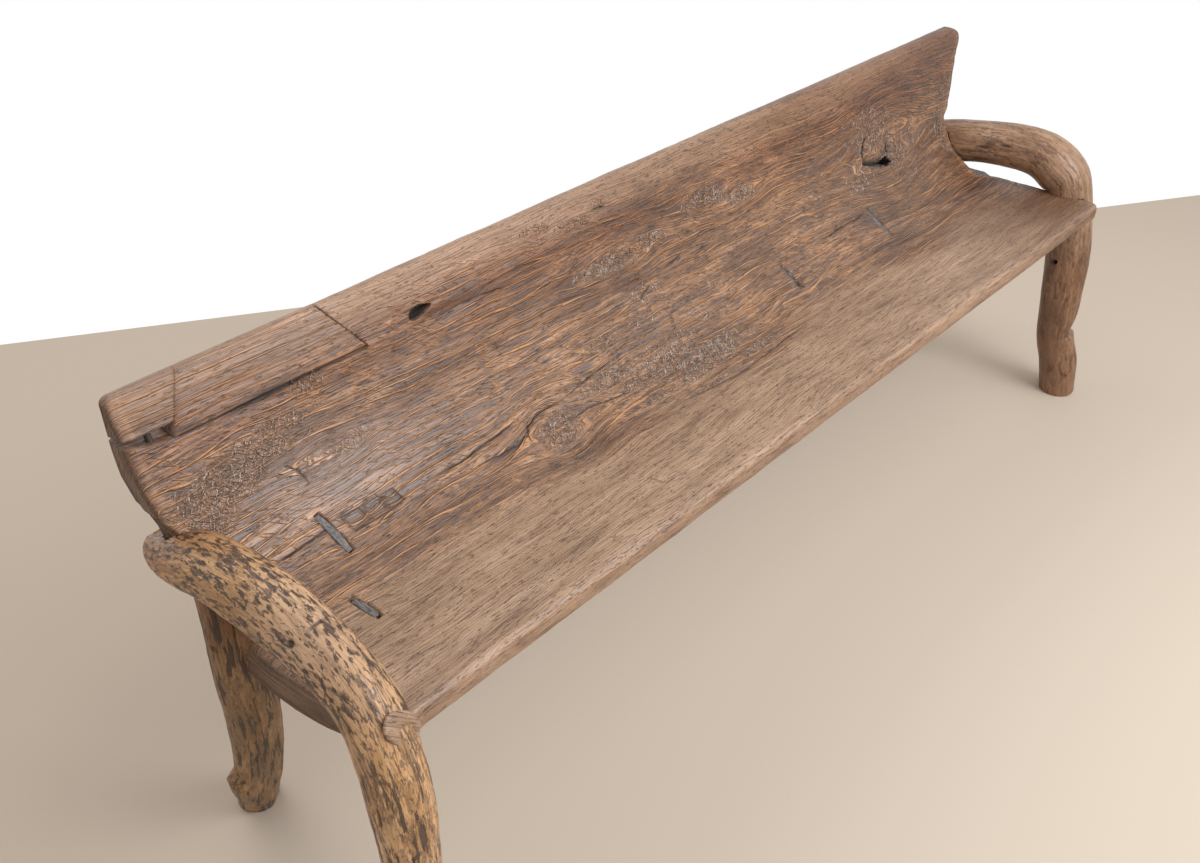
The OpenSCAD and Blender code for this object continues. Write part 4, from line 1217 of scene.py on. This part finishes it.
def slab_finish(name, patch=False):
    """Old slab wood: raised orange grain over dark valleys, worn paler at the seat's front."""
    m = Finish(name)
    grain = m.read("grain", out="Vector")
    run, across, deep = m.node("SeparateXYZ", {}, {0: grain}, out=None)
    slow = m.noise(grain, (3.0, 7.0), 2.0)
    wander = m.noise(grain, (11.0, 26.0), 2.0)
    wide_bend, small_bend = (0.010, 0.003) if patch else (0.034, 0.008)
    bent = across + (slow - 0.5) * wide_bend + (wander - 0.5) * small_bend
    if not patch:
        bent = bent - m.read("bend")
    place = m.node("CombineXYZ", {}, {0: run, 1: bent, 2: deep})
    worn = PATCH_WORN if patch else m.read("worn")
    rough = 1.0 - worn
    # Streaks and patches of several widths along the grain
    fibre = m.noise(place, (34.0, 900.0), 2.0, 0.6)
    streak = m.noise(place, (14.0, 150.0), 4.0, 0.62)
    broad = m.noise(place, (3.4, 38.0), 3.0, 0.6)
    cloud = m.noise(grain, (5.0, 12.0), 4.0, 0.6)
    tone = streak * 0.34 + broad * 0.36 + cloud * 0.30
    valley = m.ramp(tone, [(0.40, (0.060, 0.027, 0.014)), (0.46, (0.175, 0.083, 0.042)),
                           (0.54, (0.335, 0.170, 0.090)), (0.60, (0.480, 0.265, 0.150))])
    smooth = m.ramp(tone, [(0.36, (0.180, 0.100, 0.058)), (0.45, (0.305, 0.182, 0.108)),
                           (0.54, (0.405, 0.256, 0.160)), (0.64, (0.490, 0.325, 0.212))])
    wood = m.blend(worn, valley, smooth)
    # Grey weathering lies in short patches between the raised lines
    dash = m.noise(place, (19.0, 125.0), 4.0, 0.62)
    many = m.noise(grain, (7.0, 16.0), 2.0, 0.5)
    grey = (dash + (many - 0.5) * 0.35).step(0.470, 0.580)
    wood = m.blend(grey * (rough * 0.66 + 0.06), wood, (0.098, 0.062, 0.052))
    # Raised lines, with short ones that cross between them on the slab
    wide, stray = (0.15, 0.8) if patch else (0.145, 1.35)
    lines = grain_lines(m, place, 0.0100, stray, 0.0, wide)
    lines = lines.larger(grain_lines(m, place, 0.0145, stray * 1.4, 0.37, wide * 0.8))
    if not patch:
        aslant = m.node("CombineXYZ", {}, {0: run, 1: bent + run * 0.45, 2: deep})
        twig = m.line(m.noise(aslant, (16.0, 62.0), 1.0), 46.0) * cloud.step(0.44, 0.56)
        lines = lines.larger(twig * 0.6)
    lines = lines * (rough * 0.92 + 0.06)
    wood = m.blend(lines * 0.92, wood, (0.580, 0.290, 0.128))
    # Fine dark grain and pores
    hair = grain_lines(m, place, 0.0040, 1.5, 0.11, 0.20)
    pores = m.noise(place, (70.0, 430.0), 3.0, 0.6).step(0.59, 0.66)
    stain = m.noise(grain, (30.0, 62.0), 4.0, 0.68).step(0.560, 0.64)
    wood = m.coats(wood, (hair * (worn * 0.42 + 0.08), (0.115, 0.062, 0.038)),
                   ((fibre - 0.5).clamped() * (rough * 0.3 + 0.6), (0.540, 0.360, 0.240)),
                   ((0.5 - fibre).clamped() * (rough * 0.4 + 0.9), (0.075, 0.042, 0.028)),
                   (pores * 0.60, (0.080, 0.046, 0.032)),
                   (stain * (rough * 0.35 + 0.25), (0.085, 0.050, 0.038)))
    height = lines * 1.2 + streak * 0.35 + fibre * 0.20 - hair * 0.12 - pores * 0.4 - grey * 0.12
    shine = lines * 0.05
    if not patch:
        wood, height, shine = torn_finish(m, grain, run, across, dash, wood, height, shine)
    # Painted shade: the cracks, the two open holes and the open seam are darkened nearly to black
    crack = m.read("crack")
    wood = m.blend(crack.clamped() * 0.96, wood, (0.010, 0.007, 0.005))
    # The back is darker and redder, partly its own tone and partly painted shade where it turns
    # from the light; the seat's right end is darker and redder too
    back = across.step(0.390, 0.465) * (1.0 - m.bell(run, 0.06, 0.26) * 0.55)
    wood = m.blend(back * (0.60 if patch else 0.85), wood, (0.78, 0.64, 0.55), "MULTIPLY")
    if not patch:
        # Painted sheen: a pale patch laid in the left of the hollow
        painted_sheen = m.bell(run, -0.70, 0.17) * m.bell(across, 0.33, 0.085)
        wood = m.blend(painted_sheen * 0.22, wood, (0.640, 0.480, 0.400))
    # Painted sheen along the top of the back at the left
    painted_top_sheen = across.step(0.455, 0.500) * run.step(0.10, -0.30)
    wood = m.blend(painted_top_sheen * 0.30, wood, (0.620, 0.405, 0.275))
    right = run.step(0.420, 0.800) * (worn * 0.45 + 0.55)
    wood = m.blend(right, wood, (0.52, 0.42, 0.35), "MULTIPLY")
    # End grain: rings that follow the sitting surface, with an orange line inside the arris
    end = m.read("end")
    layers = m.node("CombineXYZ", {}, {0: run * 4.0, 1: across * 14.0, 2: deep * 260.0})
    ring = m.noise(layers, 1.0, 3.0, 0.6)
    end_wood = m.ramp(ring, [(0.34, (0.065, 0.031, 0.017)), (0.50, (0.150, 0.078, 0.042)),
                             (0.68, (0.265, 0.145, 0.080))])
    wood = m.blend(end * 0.92, wood, end_wood)
    wood = m.blend(m.read("rim") * 0.55, wood, (0.480, 0.260, 0.135))
    # Pale worn arris at the front; the darker front face and underside are painted shade
    wood = m.blend(across.step(0.012, -0.006) * 0.8, wood, (0.66, 0.53, 0.45), "MULTIPLY")
    arris = m.bell(across, 0.003, 0.006)
    wood = m.blend(arris * streak.step(0.38, 0.56) * 0.35, wood, (0.500, 0.310, 0.190))
    under = deep.step(0.030, 0.044)
    wood = m.blend(under * 0.72, wood, (0.100, 0.056, 0.036))
    normal = m.bump(height, 1.0, 0.0018)
    gloss = (0.41 - rough * 0.07 - shine + (streak - 0.5) * 0.22 + grey * 0.05
             + end * 0.12 + crack * 0.3 + under * 0.2)
    return m.finish(Base_Color=wood, Roughness=gloss, Normal=normal, Specular_IOR_Level=0.6)


def branch_finish(name, base, pale, dark, ovals, streaks, mottle, roughness,
                  leg_from=None, bend_wear_and_sheen=None, leg_tint=None):
    """Barked branch wood. Dark ovals on the arm give way to long dark streaks down the leg."""
    m = Finish(name)
    grain = m.read("grain", out="Vector")
    run = m.node("SeparateXYZ", {}, {0: grain}, out=0)
    stray = m.node("TexNoise", {}, {"Vector": m.vector("MULTIPLY", grain, (45.0, 80.0, 80.0)),
                                    "Scale": 1.0, "Detail": 2.0}, out="Color")
    stray = m.vector("SUBTRACT", stray, (0.5, 0.5, 0.5))
    place = m.vector("ADD", grain, m.vector("MULTIPLY", stray, (0.009, 0.0045, 0.0045)))
    cloud = m.noise(place, (8.0, 18.0), 3.0, 0.6)
    band = m.noise(place, (11.0, 120.0), 3.0, 0.6)
    fine = m.noise(place, (60.0, 520.0), 3.0, 0.6)
    leg = run.step(leg_from - 0.05, leg_from + 0.08) if leg_from else 1.0
    tone = cloud * 0.55 + band * 0.45
    wood = m.ramp(tone, [(0.36, shade(base, 0.62)), (0.48, base), (0.60, pale)])
    wood = m.coats(wood, ((fine - 0.5).clamped() * 0.9, shade(pale, 1.25)),
                   ((0.5 - fine).clamped() * 1.4, shade(base, 0.40)))
    # Paler bend of the arm, partly worn bark and partly painted sheen
    if bend_wear_and_sheen:
        wood = m.blend(m.bell(run, leg_from - 0.11, 0.12) * 0.60, wood, bend_wear_and_sheen)
    # Dark spots of three sizes, long down the leg, with darker outlines
    spread = m.noise(grain, (9.0, 20.0), 2.0, 0.5) - 0.5
    spot = m.noise(place, (88.0, 215.0), 2.5, 0.55) + spread * 0.30
    outline = (1.0 - abs(spot - 0.553) * 60.0).clamped() * 0.7
    speck = (m.noise(place, (45.0, 130.0), 3.0, 0.6) + spread * 0.2).step(0.590, 0.615)
    crease = m.noise(place, (14.0, 170.0), 4.0, 0.65).step(0.540, 0.590)
    crease_share = (leg * 0.8 + 0.2) * streaks
    blotch = m.noise(place, (22.0, 80.0), 4.0, 0.7).step(0.53, 0.58)
    oval_share = (1.0 - leg * 0.55) * ovals
    inside = spot.step(0.545, 0.565) * oval_share
    hairline = m.line(band, 75.0)
    wood = m.coats(wood, (blotch * mottle, shade(dark, 3.2)),
                   (crease * crease_share, shade(dark, 1.3)),
                   (inside * 0.72, shade(dark, 2.2)),
                   (outline.larger(spot.step(0.595, 0.630) * 0.9) * oval_share, dark),
                   (speck * 0.85 * oval_share, shade(dark, 1.1)),
                   (hairline * 0.6, shade(dark, 1.2)))
    wood = m.blend(run.step(0.150, 0.020) * 0.8, wood, (0.74, 0.57, 0.43), "MULTIPLY")
    if leg_tint:
        wood = m.blend(leg, wood, leg_tint, "MULTIPLY")
    wood = m.blend(m.read("scar").clamped() * 0.85, wood, shade(dark, 0.6))
    height = (fine * 0.25 + band * 0.5 - crease * crease_share * 0.8 - inside * 0.45 - speck * 0.4
              - blotch * 0.2 - hairline * 0.35)
    normal = m.bump(height, 0.9, 0.0013)
    gloss = roughness + (band - 0.5) * 0.25 + crease * 0.10
    return m.finish(Base_Color=wood, Roughness=gloss, Normal=normal)


def small_wood_finish(name, base, dark, scale=(300.0, 30.0, 300.0), roughness=0.6):
    """Plain wood for keys, pegs and dowels, on the object's own coordinates: weathered on the keys
    and pegs, painted dark as shade on the dowels.
    """
    m = Finish(name)
    place = m.node("TexCoord", {}, {}, out="Object")
    fibre = m.noise(place, scale, 3.0, 0.6)
    blotch = m.noise(place, 90.0, 3.0, 0.55)
    wood = m.blend(fibre.step(0.38, 0.62), dark, base)
    wood = m.blend(blotch.step(0.5, 0.68) * 0.5, wood, shade(base, 1.35))
    normal = m.bump(fibre * 0.7 + blotch * 0.3, 0.6, 0.0005)
    return m.finish(Base_Color=wood, Roughness=roughness + (blotch - 0.5) * 0.2, Normal=normal)


# ------------------------------------------------ torn grain, scattered by Geometry Nodes
def sliver_tree():
    """Curved slivers over the torn grain, with named inputs for their size and number."""
    tree = bpy.data.node_groups.new("torn_slivers", "GeometryNodeTree")
    tree.interface.new_socket("Geometry", in_out="OUTPUT", socket_type="NodeSocketGeometry")
    for title, kind, value in (
            ("Geometry", "Geometry", None), ("Number per square metre", "Float", 30000.0),
            ("Sliver length", "Float", 0.0085), ("Sliver width", "Float", 0.0021),
            ("Sliver rise", "Float", 0.0010), ("Seed", "Int", 7), ("Finish", "Material", None)):
        made = tree.interface.new_socket(title, in_out="INPUT", socket_type="NodeSocket" + kind)
        if value is not None:
            made.default_value = value
    g = Graph(tree)
    inputs = g.node("NodeGroupInput", out=None)
    surface_in, number, length, width, rise, seed, finish = inputs[:7]
    torn = g.node("GeometryNodeInputNamedAttribute", {"data_type": "FLOAT"}, {"Name": "torn"})
    points, normal = g.node("GeometryNodeDistributePointsOnFaces", {}, {
        "Mesh": surface_in, "Density": torn * torn * number, "Seed": seed}, out=None)[:2]
    start, end = (g.node("CombineXYZ", {}, {0: length * share}) for share in (-0.5, 0.5))
    line = g.node("GeometryNodeCurvePrimitiveLine", {}, {"Start": start, "End": end})
    line = g.node("GeometryNodeResampleCurve", {}, {"Curve": line, "Count": 6})
    share = g.node("GeometryNodeSplineParameter")
    arch = share * (1.0 - share) * 4.0
    bow = g.node("CombineXYZ", {}, {1: arch * length * 0.07, 2: (arch - 0.40) * rise})
    line = g.node("GeometryNodeSetPosition", {}, {"Geometry": line, "Offset": bow})
    line = g.node("GeometryNodeSetCurveRadius", {}, {"Curve": line, "Radius": arch * 0.9 + 0.1})
    profile = g.node("GeometryNodeCurvePrimitiveCircle", {}, {
        "Resolution": 4, "Radius": width * 0.5})
    sliver = g.node("GeometryNodeCurveToMesh", {}, {
        "Curve": line, "Profile Curve": profile, "Fill Caps": True})
    flat = g.node("FunctionNodeAlignRotationToVector", {"axis": "Z"}, {"Vector": normal})
    flat = g.node("FunctionNodeAlignRotationToVector", {"axis": "X", "pivot_axis": "Z"}, {
        "Rotation": flat, "Vector": (1.0, 0.0, 0.0)})

    def chance(low, high, offset):
        return g.node("FunctionNodeRandomValue", {"data_type": "FLOAT_VECTOR"}, {
            0: low, 1: high, "Seed": seed + offset})

    angles = chance((-0.20, -0.08, 0.75), (0.20, 0.08, 1.45), 1)
    turn = g.node("FunctionNodeEulerToRotation", {}, {0: angles})
    turned = g.node("FunctionNodeRotateRotation", {"rotation_space": "LOCAL"}, {0: flat, 1: turn})
    scale = chance((0.35, 0.50, 0.45), (1.20, 1.05, 0.90), 2)
    scattered = g.node("GeometryNodeInstanceOnPoints", {}, {
        "Points": points, "Instance": sliver, "Rotation": turned, "Scale": scale})
    scattered = g.node("GeometryNodeRealizeInstances", {}, {"Geometry": scattered})
    scattered = g.node("GeometryNodeSetMaterial", {}, {"Geometry": scattered, "Material": finish})
    g.node("NodeGroupOutput", {}, {"Geometry": scattered}, out=None)
    return tree


def make_slivers(slab, finish):
    """The slivers as one piece, with the slab's attributes at their own places."""
    carrier = bpy.data.objects.new("torn_grain", slab.data.copy())
    bpy.context.collection.objects.link(carrier)
    tree = sliver_tree()
    modifier = carrier.modifiers.new("slivers", "NODES")
    modifier.node_group = tree
    for item in tree.interface.items_tree:
        if item.in_out == "INPUT" and item.name == "Finish":
            modifier[item.identifier] = finish
    graph = bpy.context.evaluated_depsgraph_get()
    mesh = bpy.data.meshes.new_from_object(carrier.evaluated_get(graph))
    carrier.modifiers.clear()
    old = carrier.data
    carrier.data = mesh
    bpy.data.meshes.remove(old)
    for name in SLAB_ATTRIBUTES:
        if name in mesh.attributes:
            mesh.attributes.remove(mesh.attributes[name])
    slab_attributes(carrier)
    attribute(carrier, "sliver", np.ones(len(mesh.vertices)))
    return carrier


# ------------------------------------------------ small pieces
def make_key(name):
    """A key let into the seat: a slightly crowned block with worn arrises."""
    centre, turn, slope, length = key_frame(name)
    cells = (10, 40, 6)
    half = np.array([KEY_WIDTH / 2 - 0.3, length / 2 - 0.3, KEY_DEPTH / 2])
    seed = int(abs(centre[0])) % 97
    points, faces = [], []
    for axis in range(3):
        u, v = [k for k in range(3) if k != axis]
        iu, iv = np.meshgrid(np.arange(cells[u] + 1), np.arange(cells[v] + 1), indexing="ij")
        for side in (-1, 1):
            side_points = np.zeros(iu.shape + (3,))
            side_points[..., u], side_points[..., v] = 2 * iu / cells[u] - 1, 2 * iv / cells[v] - 1
            side_points[..., axis] = side
            start = sum(len(q) for q in points)
            points.append(side_points.reshape(-1, 3))
            faces += quads(start + np.arange(iu.size).reshape(iu.shape), False)
    p = np.concatenate(points)
    core = np.clip(p * half, -(half - KEY_ARRIS), half - KEY_ARRIS)
    away = p * half - core
    size = np.maximum(np.linalg.norm(away, axis=1), 1e-9)
    q = core + away / size[:, None] * KEY_ARRIS
    x, y = q[:, 0].copy(), q[:, 1]
    crown = 0.35 * noise(x / 2.5, y / 14, 0, seed) + 0.5 * noise(x / 9, y / 9, 0, seed + 1)
    q[:, 2] += np.where(p[:, 2] > 0.5, crown - KEYS[name][4], 0)
    share = y / half[1]
    bow = KEY_BOW * (1 - share ** 2) + 0.3 * noise(y / 11, q[:, 2] / 9, 0, seed + 2)
    q[:, 0] = x * key_taper(share) + bow
    q[:, 2] -= KEY_DEPTH / 2
    return solid(name + "_wood", lay_in_seat(q, centre, turn, slope), faces)


# ------------------------------------------------ assembling
slab_wood = slab_finish("slab_wood")
patch_wood = slab_finish("patch_wood", patch=True)
left_wood = branch_finish(
    "left_branch_wood", (0.465, 0.243, 0.100), (0.625, 0.368, 0.182), (0.055, 0.030, 0.019),
    ovals=1.0, streaks=0.95, mottle=0.30, roughness=0.36, leg_from=0.40,
    bend_wear_and_sheen=(0.570, 0.370, 0.240), leg_tint=(1.12, 1.16, 1.24))
rear_wood = branch_finish(
    "left_rear_branch_wood", (0.240, 0.126, 0.048), (0.345, 0.190, 0.082), (0.036, 0.021, 0.013),
    ovals=0.35, streaks=0.9, mottle=0.45, roughness=0.48)
right_wood = branch_finish(
    "right_branch_wood", (0.340, 0.190, 0.105), (0.470, 0.285, 0.175), (0.045, 0.023, 0.014),
    ovals=0.20, streaks=0.16, mottle=0.75, roughness=0.36, leg_from=0.44,
    leg_tint=(0.62, 0.52, 0.44))
key_wood = small_wood_finish(
    "key_wood", (0.175, 0.150, 0.140), (0.060, 0.050, 0.048), (380.0, 60.0, 380.0), 0.5)
peg_wood = small_wood_finish("peg_wood", (0.150, 0.098, 0.062), (0.050, 0.033, 0.022))
# The dowels are painted dark as shade, where they show in the wedge gap
dowel_wood = small_wood_finish(
    "dowel_wood", (0.050, 0.030, 0.020), (0.030, 0.019, 0.013), (30.0, 300.0, 300.0))


def give(obj, material):
    """The material as the object's only one."""
    obj.data.materials.clear()
    obj.data.materials.append(material)


def dress(obj, material, slot, *nodes):
    """Smooth, with its material, body and the nodes it replaces; the slot is not used."""
    give(obj, material)
    for polygon in obj.data.polygons:
        polygon.use_smooth = True
    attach(obj, "root")
    if nodes:
        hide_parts(*nodes)


def peg_start(name, x):
    """Where the middle line of a CAD peg along X is at x, in millimetres of the bench."""
    low, high = (np.array(corner, float) * 1000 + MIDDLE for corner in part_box(name))
    return [x, *(low[1:] + high[1:]) / 2]


def slab_cutter():
    """A coarse slab, a little larger, that cuts its housing into a branch."""
    return solid("slab_cutter", *log_mesh(COARSE, 60, None, grow=0.3, rounding=1.0))


slab = make_slab()
dress(slab, slab_wood, "slab_wood", "seat_back_slab")
slivers = make_slivers(slab, slab_wood)
dress(slivers, slab_wood, "slab_wood")
for piece, node in make_patches():
    dress(piece, patch_wood, "patch_wood", node)

left_branch = branch_mesh("left_branch", LEFT_BRANCH, 380, 112, left_branch_relief,
                          top_rounding=5.0)
cut(left_branch, slab_cutter())
straighten(left_branch, LEFT_BRANCH, LEFT_SCARS)
dress(left_branch, left_wood, "left_branch_wood", "left_arm_front_leg")

OLD_HOLE, ARM_PEG_HOLE = (828.0, 51.0, 308.0), (806.0, 297.0, 491.0)
# The same holes on the straightened branch, where the bark round them is darker
HOLE_SCARS = [(486, 164, 7, 7, 0), (87, 172, 7, 7, 0)]
right_branch = branch_mesh("right_branch", RIGHT_BRANCH, 340, 112, right_branch_relief)
cut(right_branch, slab_cutter())
cut(right_branch, tube("old_hole", OLD_HOLE, (1, 0, 0), 5.0, 34, uneven=0.25, seed=9))
cut(right_branch, tube("arm_peg_hole", ARM_PEG_HOLE, (0.93, -0.34, -0.1), 5.5, 14,
                       uneven=0.2, seed=3))
straighten(right_branch, RIGHT_BRANCH, RIGHT_SCARS + HOLE_SCARS)
dress(right_branch, right_wood, "right_branch_wood", "right_arm_front_leg")

left_rear = branch_mesh("left_rear_branch", LEFT_REAR, 220, 96, left_rear_relief)
start = peg_start("left_rear_leg_peg", -960.0)
cut(left_rear, tube("leg_peg_hole", start, (1, 0, 0), 5.0, 60, uneven=0.2, seed=4))
straighten(left_rear, LEFT_REAR)
dress(left_rear, rear_wood, "left_branch_wood", "left_rear_leg")
right_rear = branch_mesh("right_rear_branch", RIGHT_REAR, 200, 96, rear_leg_relief)
straighten(right_rear, RIGHT_REAR)
dress(right_rear, right_wood, "right_branch_wood", "right_rear_leg")

for name in KEYS:
    dress(make_key(name), key_wood, "key_wood", name)
for name in ("left_rear_leg_peg", "right_rear_leg_peg", "left_arm_peg", "right_arm_peg",
             "left_corner_peg"):
    give(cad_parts[name], peg_wood)
give(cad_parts["patch_dowels"], dowel_wood)

# ------------------------------------------------ floor and light
# Two places on the line where the photo's wall starts, in metres
WALL_LEFT, WALL_RIGHT = np.array([-0.497, 1.708]), np.array([2.131, -0.027])
FLOOR_REACH = 14.0


def add_floor():
    """The pale floor, whose far edge lies where the photo's wall starts."""
    way = unit(WALL_RIGHT - WALL_LEFT)
    near = np.array([way[1], -way[0]])
    near = near * FLOOR_REACH * np.sign(-near[1])
    far = [WALL_LEFT - way * FLOOR_REACH, WALL_RIGHT + way * FLOOR_REACH]
    mesh = bpy.data.meshes.new("floor")
    corners = (*far, far[1] + near, far[0] + near)
    mesh.from_pydata([(*map(float, corner), 0.0) for corner in corners], [], [(3, 2, 1, 0)])
    floor = bpy.data.objects.new("floor", mesh)
    bpy.context.collection.objects.link(floor)
    give(floor, Finish("pale_floor").finish(
        Base_Color=colour(0.590, 0.490, 0.395), Roughness=0.7, Specular_IOR_Level=0.2))


add_floor()


def add_area(name, place, target, size, power, tint):
    """A soft light, a rectangle turned towards its target."""
    data = bpy.data.lights.new(name, "AREA")
    data.shape = "RECTANGLE"
    data.size, data.size_y = size
    data.energy = power
    data.color = tint
    light = bpy.data.objects.new(name, data)
    light.visible_camera = False
    bpy.context.collection.objects.link(light)
    way = unit(np.array(target, float) - np.array(place, float))
    side = unit(np.cross(way, [0.0, 0.0, 1.0]))
    up = np.cross(side, way)
    matrix = Matrix.Identity(4)
    for row in range(3):
        matrix[row] = (side[row], up[row], -way[row], place[row])
    light.matrix_world = matrix


add_area("window_light", (0.45, -1.9, 3.2), (-0.15, 0.0, 0.45), (3.2, 2.6), 50, (0.97, 0.985, 1.0))
add_area("side_window", (0.42, -1.95, 1.65), (-0.72, 0.15, 0.52), (1.3, 1.7), 38, (0.86, 0.93, 1.0))
add_area("fill_light", (-0.7, 1.7, 2.9), (-0.3, 0.0, 0.45), (2.4, 1.8), 20, (1.0, 0.985, 0.96))


def add_world():
    """White to the camera, in reflections and behind glass, softer where it lights the bench."""
    world = bpy.data.worlds.new("studio")
    bpy.context.scene.world = world
    world.use_nodes = True
    world.node_tree.nodes.clear()
    g = Graph(world.node_tree)
    camera, glossy, through = (g.node("LightPath", out="Is " + kind + " Ray")
                               for kind in ("Camera", "Glossy", "Transmission"))
    soft = g.node("Background", {}, {"Color": colour(1.0, 0.99, 0.975), "Strength": 0.58})
    white = g.node("Background", {}, {"Color": colour(1.0, 1.0, 1.0), "Strength": 1.0})
    chosen = g.node("MixShader", {}, {0: camera.larger(glossy.larger(through)), 1: soft, 2: white})
    g.node("OutputWorld", {}, {"Surface": chosen}, out=None)


add_world()
bpy.context.scene.view_settings.view_transform = "Standard"
